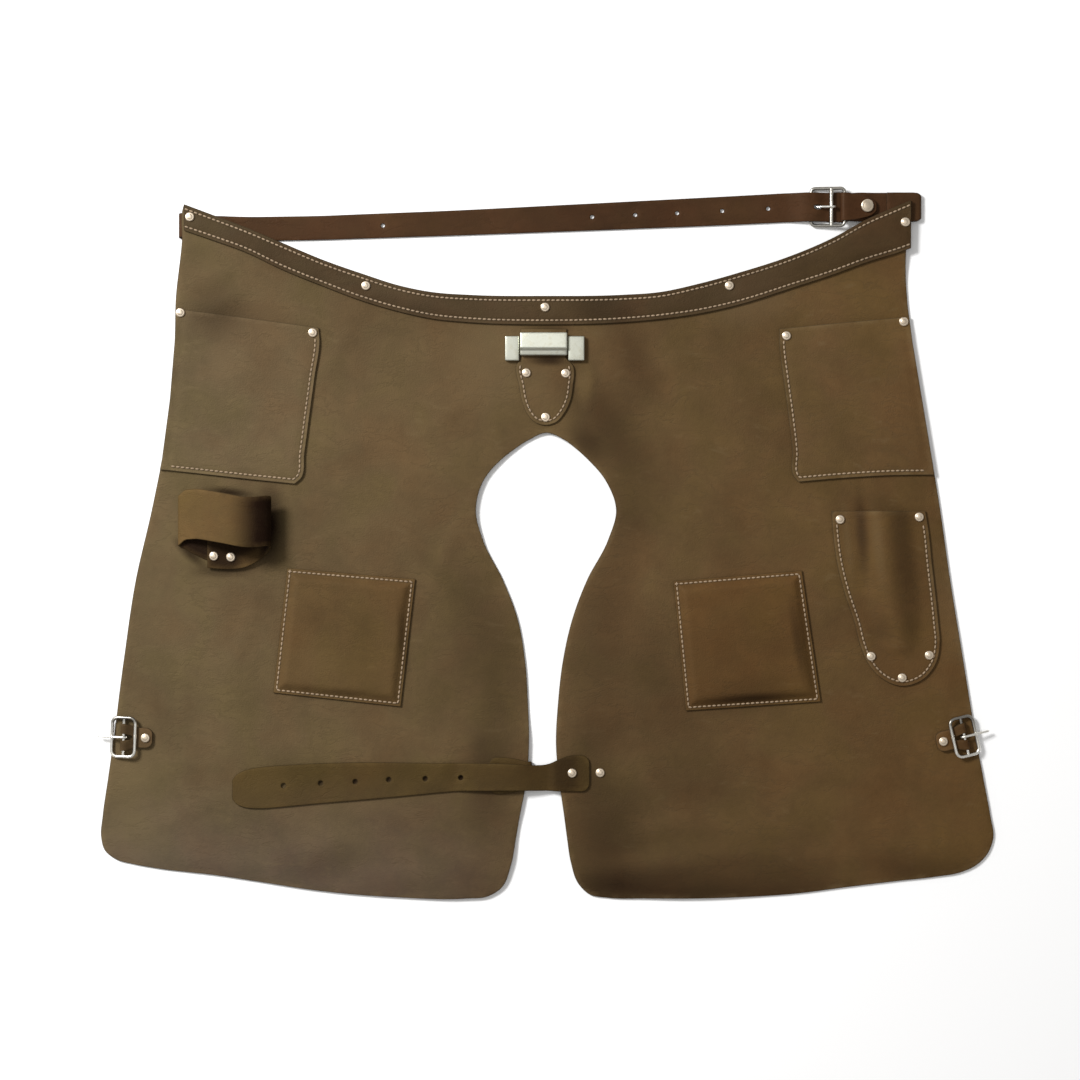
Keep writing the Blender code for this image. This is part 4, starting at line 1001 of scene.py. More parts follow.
@made_once
def nickel(name, shine=0.26, tint=(1.0, 1.0, 1.0)):
    """Nickel plate with fine scratches and darker, rougher spots where the plating has tarnished, plus painted shade
    and dark reflections from the shade note.
    """
    colour = tuple(c * t for c, t in zip(bpy.context.scene.apron_hardware.metal_colour, tint))
    material, graph, shader = new_material(name)
    spot = graph.spot()
    dull_and_shaded = graph.noise(spot, 210.0, 3.0, 0.6).ramp(0.50, 0.74)
    fine = graph.noise(spot, 900.0, 2.0)
    brushed = graph.add("ShaderNodeMapping", None, {0: spot, 3: (1.0, 14.0, 1.0)}).outputs[0]
    hair = graph.noise(brushed, 420.0, 3.0, 0.7)
    base = graph.blend(dull_and_shaded * 0.4, rgba(colour), rgba((colour[0] * 0.66, colour[1] * 0.6, colour[2] * 0.5)))
    # Painted shade and dark reflections, from the shade note
    base = graph.blend(graph.note("shade").clamped(), base, rgba((0.10, 0.085, 0.07)), "MULTIPLY")
    rough = dull_and_shaded * 0.2 + hair * 0.12 + fine * 0.05 + (shine - 0.08)
    graph.fill(shader, {"Base Color": base, "Roughness": rough.clamped(), "Metallic": 1.0,
                        "Normal": graph.bump(0.25, 0.0001, hair + dull_and_shaded)})
    return material


@made_once
def thread(name):
    """Waxed thread: dirty in places, with its strands standing out."""
    colour = bpy.context.scene.apron_stitch.thread_colour
    material, graph, shader = new_material(name)
    spot = graph.spot()
    dirt = graph.noise(spot, 36.0, 3.0).ramp(0.40, 0.68)
    base = graph.blend(dirt * 0.6, rgba(colour), rgba(colour, 0.5))
    strand = graph.noise(spot, 1900.0, 2.0)
    base = graph.blend(strand * 0.5, base, rgba(colour, 1.4))
    graph.fill(shader, {"Base Color": base, "Roughness": 0.66, "Normal": graph.bump(0.6, 0.0002, strand)})
    return material


# The apron's leaves: outline, seams and the surface each lies on

# How far the rows of stitches lie from the edges
BAND_SEAM_TOP, BAND_SEAM_BOTTOM = 4.6, 4.4
POCKET_SEAM, POCKET_SEAM_LEAST, POCKET_SIDE_SEAM = 4.5, 4.3, 5.4
SHEATH_SEAM, TAB_SEAM = 4.6, 4.4
# How far the leather stands off between its seams, and how far down a pocket gapes
BAND_PUFF, POCKET_PUFF, POCKET_GAPE_DEPTH = 0.7, 0.8, 120.0
# The knee pad: its dome, the uneven sinking of the padding and how far in these begin
DOME_RISE, DOME_REACH = 0.9, 70
SINK_SIZE, SINK_SEEDS = 30, {"left": 21, "right": 22}
PAD_TOP, PAD_TOP_RAMP = 12, 16
# The sheath: how far its tube fades out at the foot, and its dents
SHEATH_FADE, DENT_DEPTH, DENT_SIZE, DENT_SEED = 18, 0.12, 26, 31
# How far below the mouth, or the bar, the stitches start
POCKET_SEAM_START, SHEATH_SEAM_START, TAB_SEAM_TOP = 12, 15, 176.5

Leaf = namedtuple("Leaf", "outline seams surface wall", defaults=(None,))


def panel_edge(column, upwards=False):
    rows = SECTIONS[::-1] if upwards else SECTIONS
    return [(getattr(row, column), row.y) for row in rows if getattr(row, column) is not None]


@lru_cache(maxsize=None)
def panel_outline():
    rim = [(WAISTBAND[0].x, WAISTBAND[0].top), *panel_edge("left_out"), *LEFT_HEM, *panel_edge("left_in", True),
           SPLIT_TOP, *panel_edge("right_in"), *RIGHT_HEM, *panel_edge("right_out", True),
           (WAISTBAND[-1].x, WAISTBAND[-1].top)]
    waist = [(b.x, b.top) for b in reversed(WAISTBAND)]
    return np.concatenate([smooth_path(rim, EDGE_STEP)[:-1], smooth_path(waist, EDGE_STEP)[:-1]])


def side_point(side, y, by):
    """A point on the panel's outer side at height y, moved in by a distance."""
    xs, ys = zip(*panel_edge(side + "_out", True))
    x = float(np.interp(y, ys, xs))
    return (x - math.copysign(by, x), y)


@lru_cache(maxsize=None)
def waistband_leaf():
    top = smooth_path([(b.x, b.top - BAND_INSET) for b in WAISTBAND], EDGE_STEP)
    bottom = smooth_path([(b.x, b.bottom) for b in reversed(WAISTBAND)], EDGE_STEP)
    upper = smooth_path([(b.x, b.top - BAND_SEAM_TOP) for b in WAISTBAND], EDGE_STEP)[1:-1]
    lower = smooth_path([(b.x, b.bottom + BAND_SEAM_BOTTOM) for b in WAISTBAND], EDGE_STEP)[1:-1]
    seams = (upper, lower)
    return Leaf(np.concatenate([top, bottom]), seams, puffed(seams, rivets_named("waist"), BAND_PUFF))


@lru_cache(maxsize=None)
def pocket_leaf(side):
    inner, bottom, top_y = POCKET_INNER[side], POCKET_BOTTOM[side], POCKET_TOP[side]
    heights = np.linspace(bottom[-1].y, top_y, 30)
    edge = [side_point(side, y, BAND_INSET) for y in heights]
    inner_line, bottom_line = smooth_path(inner, EDGE_STEP), smooth_path(bottom, EDGE_STEP)
    mouth = smooth_path([edge[-1], inner[0]], EDGE_STEP)[1:-1]
    outline = np.concatenate([inner_line[:-1], bottom_line[:-1], edge, mouth])
    turn = 1 if side == "right" else -1
    sewn = np.concatenate([inner_line[:-1], bottom_line])
    seam = inset(sewn, POCKET_SEAM * turn)
    seam = seam[(distance_to_path(*seam.T, sewn) > POCKET_SEAM_LEAST) & (seam[:, 1] < inner[0].y - POCKET_SEAM_START)]
    seam = seam[np.abs(seam[:, 0]) < abs(bottom[-1].x) - 7]
    outer_seam = np.array([side_point(side, y, POCKET_SIDE_SEAM) for y in heights[2:-1]])
    over = puffed((seam, outer_seam), rivets_named("pocket"), POCKET_PUFF)
    middle, half = (inner[0].x + edge[-1][0]) / 2, abs(edge[-1][0] - inner[0].x) / 2

    def surface(x, y):
        across = np.clip(1 - ((x - middle) / half) ** 2, 0, 1)
        down = np.clip(1 - (top_y - y) / POCKET_GAPE_DEPTH, 0, 1)
        return over(x, y) + POCKET_GAPE * across**3 * down**2

    return Leaf(outline, (seam,), surface)


def straight_sided(corners):
    """Points along the straight sides from corner to corner, once round."""
    following = np.roll(corners, -1, axis=0)
    return np.concatenate([smooth_path(side, EDGE_STEP)[:-1] for side in zip(corners, following)])


@lru_cache(maxsize=None)
def patch_leaf(side):
    corners = np.array(PATCHES[side], float)
    middle = corners.mean(axis=0)
    towards = (middle - corners) / np.linalg.norm(middle - corners, axis=1)[:, None]
    seam = closed(straight_sided(corners + towards * PATCH_SEAM * math.sqrt(2)))
    ring = closed(corners)

    def wall(x, y):
        inwards = distance_to_path(x, y, ring)
        pad = PAD_RISE * smooth_step((inwards - PAD_MARGIN + PAD_SHOULDER) / PAD_SHOULDER)
        dome = DOME_RISE * (1 - ((x - middle[0]) / DOME_REACH) ** 2) * (1 - ((y - middle[1]) / DOME_REACH) ** 2)
        sunk = 0.8 * soft_noise(x, y, SINK_SIZE, SINK_SEEDS[side]) - 0.5
        top = smooth_step((inwards - PAD_TOP) / PAD_TOP_RAMP)
        return HIDE + pad + (np.clip(dome, 0, 1) + sunk * 0.8 - 0.5) * top

    return Leaf(straight_sided(corners), (seam,), on_panel, wall)


def sheath_surface(x, y):
    levels = [row.y for row in reversed(SHEATH)]

    def column(name):
        return np.interp(y, levels, [getattr(row, name) for row in reversed(SHEATH)])

    fade = smooth_step((y - SHEATH[-1].y + SHEATH_FADE) / SHEATH_FADE)
    across = np.clip(np.abs(x - column("middle")) / column("half"), 0, 1)
    dented = 1 + DENT_DEPTH * (soft_noise(x, y, DENT_SIZE, DENT_SEED) - 0.5)
    return on_panel(x, y) + column("rise") * fade * dented * np.cos(across * math.pi / 2) ** 2


@lru_cache(maxsize=None)
def sheath_leaf():
    left = [(row.left, row.y) for row in SHEATH]
    right = [(row.right, row.y) for row in reversed(SHEATH)]
    side = smooth_path([*left, *SHEATH_FOOT, *right], EDGE_STEP)
    mouth = smooth_path([right[-1], left[0]], EDGE_STEP)[1:-1]
    seam = inset(side, SHEATH_SEAM)
    seam = seam[seam[:, 1] < SHEATH[0].y - SHEATH_SEAM_START]
    return Leaf(np.concatenate([side, mouth]), (seam,), sheath_surface)


@lru_cache(maxsize=None)
def tab_leaf():
    outline = smooth_path(MAGNET_TAB, SMALL_STEP)
    seam = inset(outline[outline[:, 1] < TAB_SEAM_TOP], TAB_SEAM)
    return Leaf(outline, (seam,), on_panel)


# Operators

# Where the panel's mesh is finer: under the hammer loop and the magnet bar, and at the holes
FINE_PLACES = ((-312, 10, 72.0), (-2, 196, 44.0))
HOLE_REACH = 8.0
SHEATH_EXTRA = 12.0


class APRON_OT_panel(bpy.types.Operator):
    """Lay out the apron's main panel with its folds and its split"""

    bl_idname = "leather_apron.panel"
    bl_label = "Panel"

    def execute(self, context):
        outline = panel_outline()
        zones = [*((hole.x, hole.y, HOLE_REACH) for hole in LEG_STRAP_HOLES), *FINE_PLACES]
        obj = leather_leaf("panel", outline, lift, panel_leather(), PANEL_STEP, zones=zones)
        declare_leaf(outline, ("apron_panel",))
        return {"FINISHED"}


class APRON_OT_waistband(bpy.types.Operator):
    """Sew the dark band along the waist edge"""

    bl_idname = "leather_apron.waistband"
    bl_label = "Waistband"

    def execute(self, context):
        leaf = waistband_leaf()
        obj = leather_leaf("waist_band", leaf.outline, leaf.surface, band_leather(), seams=leaf.seams)
        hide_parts("waistband")
        return {"FINISHED"}


class APRON_OT_pockets(bpy.types.Operator):
    """Sew the two upper pockets to the panel"""

    bl_idname = "leather_apron.pockets"
    bl_label = "Pockets"

    def execute(self, context):
        for side in ("left", "right"):
            leaf = pocket_leaf(side)
            obj = leather_leaf("upper_pocket_" + side, leaf.outline, leaf.surface,
                               toned_leather("pocket", POCKET_TONE), seams=leaf.seams)
            declare_leaf(leaf.outline, ("pocket_" + side,))
        return {"FINISHED"}


class APRON_OT_knee_patches(bpy.types.Operator):
    """Sew the padded patch over each knee"""

    bl_idname = "leather_apron.knee_patches"
    bl_label = "Knee patches"

    def execute(self, context):
        for side in ("left", "right"):
            leaf = patch_leaf(side)
            obj = leather_leaf("padded_patch_" + side, leaf.outline, leaf.surface, toned_leather("patch", PATCH_TONE),
                               step=PATCH_STEP, seams=leaf.seams, wall=leaf.wall)
            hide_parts("knee_patch_" + side)
        return {"FINISHED"}


class APRON_OT_sheath(bpy.types.Operator):
    """Form the knife sheath that stands off the right leg"""

    bl_idname = "leather_apron.sheath"
    bl_label = "Knife sheath"

    def execute(self, context):
        leaf = sheath_leaf()
        obj = leather_leaf("sheath_front", leaf.outline, leaf.surface, toned_leather("sheath", SHEATH_TONE),
                           step=FINE_STEP, seams=leaf.seams)
        declare_leaf(leaf.outline, ("knife_sheath",), extra_width=SHEATH_EXTRA)
        return {"FINISHED"}


class APRON_OT_hammer_loop(bpy.types.Operator):
    """Bend the strap that holds a hammer"""

    bl_idname = "leather_apron.hammer_loop"
    bl_label = "Hammer loop"

    def execute(self, context):
        ring = list(smooth_path([(row.x, row.z, row.low) for row in LOOP_RISE], 9.0))
        for x, z in arc(LOOP_FOLD.x, LOOP_FOLD.z, LOOP_FOLD_RADIUS, 128, 270, 7):
            share = (z - LOOP_BASE[0].z) / (LOOP_RISE[-1].z - LOOP_BASE[0].z)
            ring.append((x, z, LOOP_FOLD.low + 4 * (share - 0.5)))
        ring += [(row.x, row.z, row.low) for row in LOOP_BASE]
        run = Run([(x, low + LOOP_WIDTH / 2, z, LOOP_WIDTH) for x, z, low in ring])
        obj, outline = strap_piece("loop_strap", run, BELT_HIDE, toned_leather("loop", LOOP_TONE), shade=self.shade)
        declare_strap(obj, run, outline, ("hammer_loop",))
        return {"FINISHED"}

    @staticmethod
    def shade(x, t, z):
        """Painted shade: darkest in the bend at the right and along the mouth, dark where the ring covers it and less
        where the lower flap lies lit, with painted light at the left tip.
        """
        bend = smooth_step((x + 319) / 36)
        mouth = 0.34 * smooth_step((t - 20) / 4) * smooth_step((x + 340) / 16)
        lit = smooth_step((11 - z) / 3) * smooth_step((x + 312) / 12) * smooth_step((-8 - t) / 8)
        bend = bend * (1 - 0.5 * lit)
        covered = smooth_step((11 - z) / 3) * (0.90 + 0.08 * smooth_step((-334 - x) / 10)) * (1 - 0.6 * lit)
        tip = smooth_step((-344 - x) / 14) * smooth_step((z - 4.2) / 1.2)
        return np.clip(np.maximum(np.maximum(bend, mouth), covered * (1 - tip)) - 0.12 * tip, -1, 1)


BLOCK_CELLS, BLOCK_CROWN = 16, 0.35
# The rail's darkness is painted shade; the end blocks are painted a little darker
RAIL_FROM, RAIL_DROP, RAIL_SHADE, END_SHADE = -0.45, 2.4, 0.42, 0.22


def rounded_block(name, block, material, rail=0.0):
    """A metal block with soft edges and a slightly crowned top; `rail` sinks a step along its lower side and paints
    it dark as shade; a block without a rail is painted a little darker.
    """
    shares = np.linspace(-1, 1, BLOCK_CELLS + 1)
    v, u = (side.ravel() for side in np.meshgrid(shares, shares, indexing="ij"))
    x = (block.x0 + block.x1) / 2 + u * (block.x1 - block.x0) / 2
    y = (block.y0 + block.y1) / 2 + v * (block.y1 - block.y0) / 2
    stepped = (v < RAIL_FROM) & (rail > 0)
    top = block.foot + block.height - BLOCK_CROWN * (u**4 + v**4) - rail * stepped
    shade = np.where(stepped, RAIL_SHADE, 0.0 if rail else END_SHADE)
    row = BLOCK_CELLS + 1
    start = np.add.outer(np.arange(BLOCK_CELLS) * row, np.arange(BLOCK_CELLS)).ravel()
    faces = np.column_stack([start, start + 1, start + 1 + row, start + row])
    under, over = np.column_stack([x, y, np.full(len(x), block.foot)]), np.column_stack([x, y, top])
    obj = shell(name, faces, under, over, {"shade": shade}, material, BLOCK_ROUNDING, BLOCK_STEPS, BLOCK_ANGLE)
    return obj


class APRON_OT_magnet(bpy.types.Operator):
    """Set the magnet bar and its riveted tab under the waistband"""

    bl_idname = "leather_apron.magnet"
    bl_label = "Magnet bar"

    def execute(self, context):
        leaf = tab_leaf()
        tab = leather_leaf("bar_tab", leaf.outline, leaf.surface, panel_leather(),
                           step=FINE_STEP, seams=leaf.seams)
        declare_leaf(leaf.outline, ("magnet_tab",))
        for block in MAGNET_BLOCKS:
            bar = rounded_block("bright_" + block.name, block, nickel("bright_nickel", 0.34, (0.81, 0.84, 0.78)),
                                rail=RAIL_DROP if block.name == "magnet_body" else 0.0)
            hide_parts(block.name)
        return {"FINISHED"}


def belt_line(x):
    xs, ys, widths = zip(*BELT)
    return float(np.interp(x, xs, ys)), float(np.interp(x, xs, widths))


# The middle of a folded belt's lower and upper layer
BELT_LAYERS = (BELT_HIDE / 2, BELT_HIDE / 2 + BELT_HIDE + FOLD_GAP)
BELT_LEFT_Y, BELT_LEFT_WIDTH = 317.5, 24.0
# The tongue's slot, from the far rail on
BELT_SLOT, BELT_SLOT_HALF = (2.4, 10.5), 2.1
# Where the flat part of the belt gets a row of points
BELT_STOPS = (-350, -325, -300, -262, -225, -190, -150, -100, -50, 0, 50, 100, 150, 190, 222, 240)


def waist_belt_run():
    low, high = BELT_LAYERS
    rows = [(x, BELT_LEFT_Y, high, BELT_LEFT_WIDTH) for x in (BELT_ANCHOR_LEFT, -349.0, BELT_FOLD_LEFT + 4)]
    for x, z in arc(BELT_FOLD_LEFT, (low + high) / 2, (high - low) / 2, 90, 270, 8):
        share = (high - z) / (high - low)
        rows.append((x, BELT_LEFT_Y - 1.5 * share, z, BELT_LEFT_WIDTH))
    over_rail = FAR_HEIGHT + FRAME_WIRE + GAP + low
    stretch = [(x, low) for x in BELT_STOPS]
    stretch += [(250, low + 1.5), (261, over_rail), (268, over_rail), (273, over_rail - 1.5),
                (278.5, low + 0.2), (282, low), (300, low)]
    for x, z in stretch:
        y, width = belt_line(x)
        rows.append((x, y, z, width))
    y, width = belt_line(BELT_END)
    for back, share in ((6.0, 0.86), (2.2, 0.6), (0.0, 0.3)):
        rows.append((BELT_END - back, y, low, width * share))
    return Run(rows)


class APRON_OT_belt(bpy.types.Operator):
    """Run the waist belt along the back and through its buckle"""

    bl_idname = "leather_apron.belt"
    bl_label = "Waist belt"

    def execute(self, context):
        run = waist_belt_run()
        holes = [circle(run.s_at(x, 0.1, 1.0), 0.0, BELT_HOLE / 2) for x in BELT_HOLES]
        start, end = (run.s_at(FAR_RAIL + beyond, 0.1, 1.0) for beyond in BELT_SLOT)
        holes.append(slot(start, end, BELT_SLOT_HALF))
        belt, outline = strap_piece("back_belt", run, BELT_HIDE, belt_leather(), holes, shade=self.shade)
        declare_strap(belt, run, outline, ("waist_belt",))
        chape = Run(self.chape_rows())
        obj, outline = strap_piece("buckle_chape", chape, BELT_HIDE, belt_leather())
        declare_strap(obj, chape, outline, ("waist_chape",))
        return {"FINISHED"}

    @staticmethod
    def shade(x, t, z):
        """Darker along the middle of the back and towards both long edges."""
        return 0.22 * smooth_step(1 - np.abs(x - 80) / 130) + 0.12 * smooth_step(np.abs(t) / 9 - 0.5)

    @staticmethod
    def chape_rows():
        low, high = BELT_LAYERS
        over_end = BELT_HIDE + GAP + low
        turn = FRAME_WIRE + GAP + low
        fold = (high - low) / 2
        bend = [(CHAPE_FOLD - back, high) for back in (5.0, 3.0, 1.5)]
        bend += arc(CHAPE_FOLD, low + fold, fold, 90, -90, 8)
        bend += [(CHAPE_FOLD - back, low) for back in (1.5, 3.0, 5.0)]
        line = [(x, high, CHAPE_WIDTH) for x in (CHAPE_ANCHOR, 356.0, CHAPE_FOLD - 8)]
        for x, z in bend:
            left = max(0.0, CHAPE_CORNER - (CHAPE_FOLD + fold + low - x))
            rounding = CHAPE_CORNER - math.sqrt(CHAPE_CORNER**2 - left**2)
            line.append((x, z, CHAPE_WIDTH - 2 * rounding))
        line += [(x, low, CHAPE_WIDTH) for x in (CHAPE_FOLD - 8, 356.0, 340.0, 328.0)]
        line += [(320.0, low + 1.2, CHAPE_WIDTH), (314.0, over_end, CHAPE_WIDTH), (304.0, over_end, 28.0)]
        line += [(x, z, 28.0) for x, z in arc(HEEL_BAR, HEEL_HEIGHT, turn, -90, -270, 10)]
        line += [(304.0, HEEL_HEIGHT + turn - 1.2, 27.0), (311.0, 7.2, 25.0), (317.0, 6.3, 22.0),
                 (323.0, 5.4, 18.5), (328.0, 4.9, 12.0), (CHAPE_TAIL, 4.8, 6.0)]
        return [(x, WAIST_BUCKLE_Y, z, width) for x, z, width in line]


WIRE_ROUNDNESS, WIRE_MERGE, SHARP_ANGLE = 5, 1e-6, 60
WAIST_CORNER, LEG_CORNER, CORNER_POINTS = 4.0, 6.0, 9


def add_line(curve, spots, size=1.0):
    """A line of a curve through spots in metres."""
    line = curve.splines.new("POLY")
    line.points.add(len(spots) - 1)
    for point, spot in zip(line.points, spots):
        point.co, point.radius = (*spot, 1.0), size
    return line


def thin_out(points):
    """A tongue is thin at its eye, thickest over its first third and narrow at its tip."""
    count = len(points)
    for k, point in enumerate(points):
        left = (count - 1 - k) / count
        thickness = min(1.0, 0.45 + 3.2 * math.sqrt(left), 0.35 + 0.35 * k)
        point.radius = thickness * (1.12 if k < count * 0.35 else 1.0)


def wire(name, points, radius, material, body=APRON, place=None, thin_end=False, bar=None, bar_radius=0.0):
    """A round wire through points; with a bar it is a closed ring and the bar is a closed tube of its own."""
    curve = bpy.data.curves.new(name, "CURVE")
    curve.dimensions = "3D"
    curve.bevel_depth = radius * MM
    curve.bevel_resolution = WIRE_ROUNDNESS
    curve.use_fill_caps = True
    for line, size in ((points, 1.0), (bar, bar_radius / radius)):
        if line is not None:
            spline = add_line(curve, [Vector(tuple(point)) * MM for point in line], size)
            spline.use_cyclic_u = bool(bar) and line is points
    if thin_end:
        thin_out(curve.splines[0].points)
    data = flattened(in_scene(name + "_curve", curve), name)
    bpy.data.curves.remove(curve)
    mesh = bmesh.new()
    mesh.from_mesh(data)
    bmesh.ops.remove_doubles(mesh, verts=mesh.verts, dist=WIRE_MERGE)
    if place is not None:
        mesh.transform(place)
    mesh.to_mesh(data)
    mesh.free()
    obj = piece_from(name, data, material, body)
    data.set_sharp_from_angle(angle=math.radians(SHARP_ANGLE))
    return obj


def paint_metal_shade(obj, dull_and_shaded):
    """Darkens a metal piece with painted shade and dark reflections, by an amount that follows from x and y."""
    spots = np.zeros(len(obj.data.vertices) * 3)
    obj.data.vertices.foreach_get("co", spots)
    add_note(obj.data, "shade", dull_and_shaded(spots[::3] / MM, spots[1::3] / MM))


def rounded_frame(x0, x1, half, height_at, corner):
    points = []
    for cx, cy, start in ((x1 - corner, half - corner, 0), (x0 + corner, half - corner, 90),
                          (x0 + corner, corner - half, 180), (x1 - corner, corner - half, 270)):
        for angle in np.radians(np.linspace(start, start + 90, CORNER_POINTS)):
            x = cx + corner * math.cos(angle)
            points.append((x, cy + corner * math.sin(angle), height_at(x)))
    return points


def straight(a, b, count=6):
    return [tuple(np.array(a) * (1 - k / count) + np.array(b) * k / count) for k in range(count + 1)]


class APRON_OT_waist_buckle(bpy.types.Operator):
    """Fasten the waist buckle on the belt"""

    bl_idname = "leather_apron.waist_buckle"
    bl_label = "Waist buckle"

    def execute(self, context):
        slope = (HEEL_HEIGHT - FAR_HEIGHT) / (HEEL_BAR - FAR_RAIL)
        y = WAIST_BUCKLE_Y

        def height_at(x):
            return FAR_HEIGHT + slope * (x - FAR_RAIL)

        ring = rounded_frame(FAR_RAIL, HEEL_BAR, FRAME_HALF, height_at, WAIST_CORNER)
        ring = [(px, py + y, pz) for px, py, pz in ring]
        middle = height_at(MIDDLE_BAR)
        bar = straight(*((MIDDLE_BAR, end, middle) for end in (y - FRAME_HALF, y + FRAME_HALF)))
        obj = wire("belt_buckle", ring, FRAME_WIRE, nickel("nickel_plate"), bar=bar, bar_radius=MIDDLE_WIRE)
        paint_metal_shade(obj, self.dull_and_shaded)
        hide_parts("waist_buckle_frame")
        eye = MIDDLE_WIRE + GAP + TONGUE_WIRE
        line = arc(MIDDLE_BAR, middle, eye, -30, 90, 7)
        line += [(MIDDLE_BAR - 5.5, middle + eye - 0.7), (MIDDLE_BAR - 10.5, middle + 1.9),
                 (MIDDLE_BAR - 13.5, middle + 0.6), (MIDDLE_BAR - 15.4, middle - 0.3)]
        path = smooth_path([(x, y, z) for x, z in line], 0.8)
        obj = wire("belt_tongue", path, TONGUE_WIRE, nickel("nickel_plate"), thin_end=True)
        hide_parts("waist_buckle_tongue")
        return {"FINISHED"}

    @staticmethod
    def dull_and_shaded(x, y):
        """Painted shade and dark reflections: the rails are darkened, and the middle bar is darkened towards its ends
        and left bright near the tongue.
        """
        bar = 0.55 * smooth_step(np.abs(y - WAIST_BUCKLE_Y) / 4 - 0.8)
        return np.where(np.abs(x - MIDDLE_BAR) < MIDDLE_WIRE + 1.5, bar, 0.7)


def over_the_legs(x, y):
    """The height of a strap's middle where it lies on a leg, and nothing over the split."""
    return np.where((x < -30) | (x > 6), on_panel(x, y) + HIDE / 2, 0.0)


# The left strap's folded end and its long run: distance along and width
LEFT_STRAP_FOLDED = ((0.0, 20.0), (1.6, 30.0), (5.0, 35.5), (16.0, 36.0), (32.0, 31.0))
LEFT_STRAP_LONG = ((20, 27), (45, 27.5), (80, 29), (120, 32), (160, 35.5), (200, 38), (240, 40),
                   (275, 41), (293, 38), (302, 31), (307, 20))


class APRON_OT_leg_straps(bpy.types.Operator):
    """Lay the two leg straps across the split and the left leg"""

    bl_idname = "leather_apron.leg_straps"
    bl_label = "Leg straps"

    def execute(self, context):
        run = Run(smooth_path(LEG_STRAP_RIGHT, 16.0))
        holes = []
        for hole in LEG_STRAP_HOLES:
            s = run.s_at(hole.x, 0.0, 1.0)
            holes.append(circle(s, hole.y - float(run.at(s, 1)), LEG_STRAP_HOLE / 2))
        obj, outline = strap_piece("strap_over_legs", run, HIDE, strap_leather(), holes, over_the_legs,
                                   shade=self.shade)
        declare_strap(obj, run, outline, ("leg_strap_right",))
        low = HIDE / 2
        high = 2 * ON_HIDE + low
        rows = [(LEFT_STRAP_END + d, LEFT_STRAP_Y, high, w) for d, w in LEFT_STRAP_FOLDED]
        rows += [(x, LEFT_STRAP_Y, z, 27.0)
                 for x, z in arc(LEFT_STRAP_EDGE, (low + high) / 2, (high - low) / 2, 90, -90, 9)]
        for d, w in LEFT_STRAP_LONG:
            rows.append((LEFT_STRAP_EDGE - d, left_strap_y(LEFT_STRAP_EDGE - d), low, w))
        run = Run(rows)
        obj, outline = strap_piece("strap_under_leg", run, HIDE, strap_leather())
        declare_strap(obj, run, outline, ("leg_strap_left",))
        return {"FINISHED"}

    @staticmethod
    def shade(x, t, z):
        """Pale at its free tip, darkest over the split's right edge."""
        legs = 0.22 * smooth_step((x + 60) / 60) + 0.34 * smooth_step((x - 2) / 12)
        return legs - 0.34 * smooth_step((x - 26) / 10) - 0.7 * smooth_step((-236 - x) / 40)


def chape_shade(x, t, z):
    """Dark inside the frame and the panel's own tone round the rivet."""
    return 0.46 * smooth_step((x - 6) / 4)


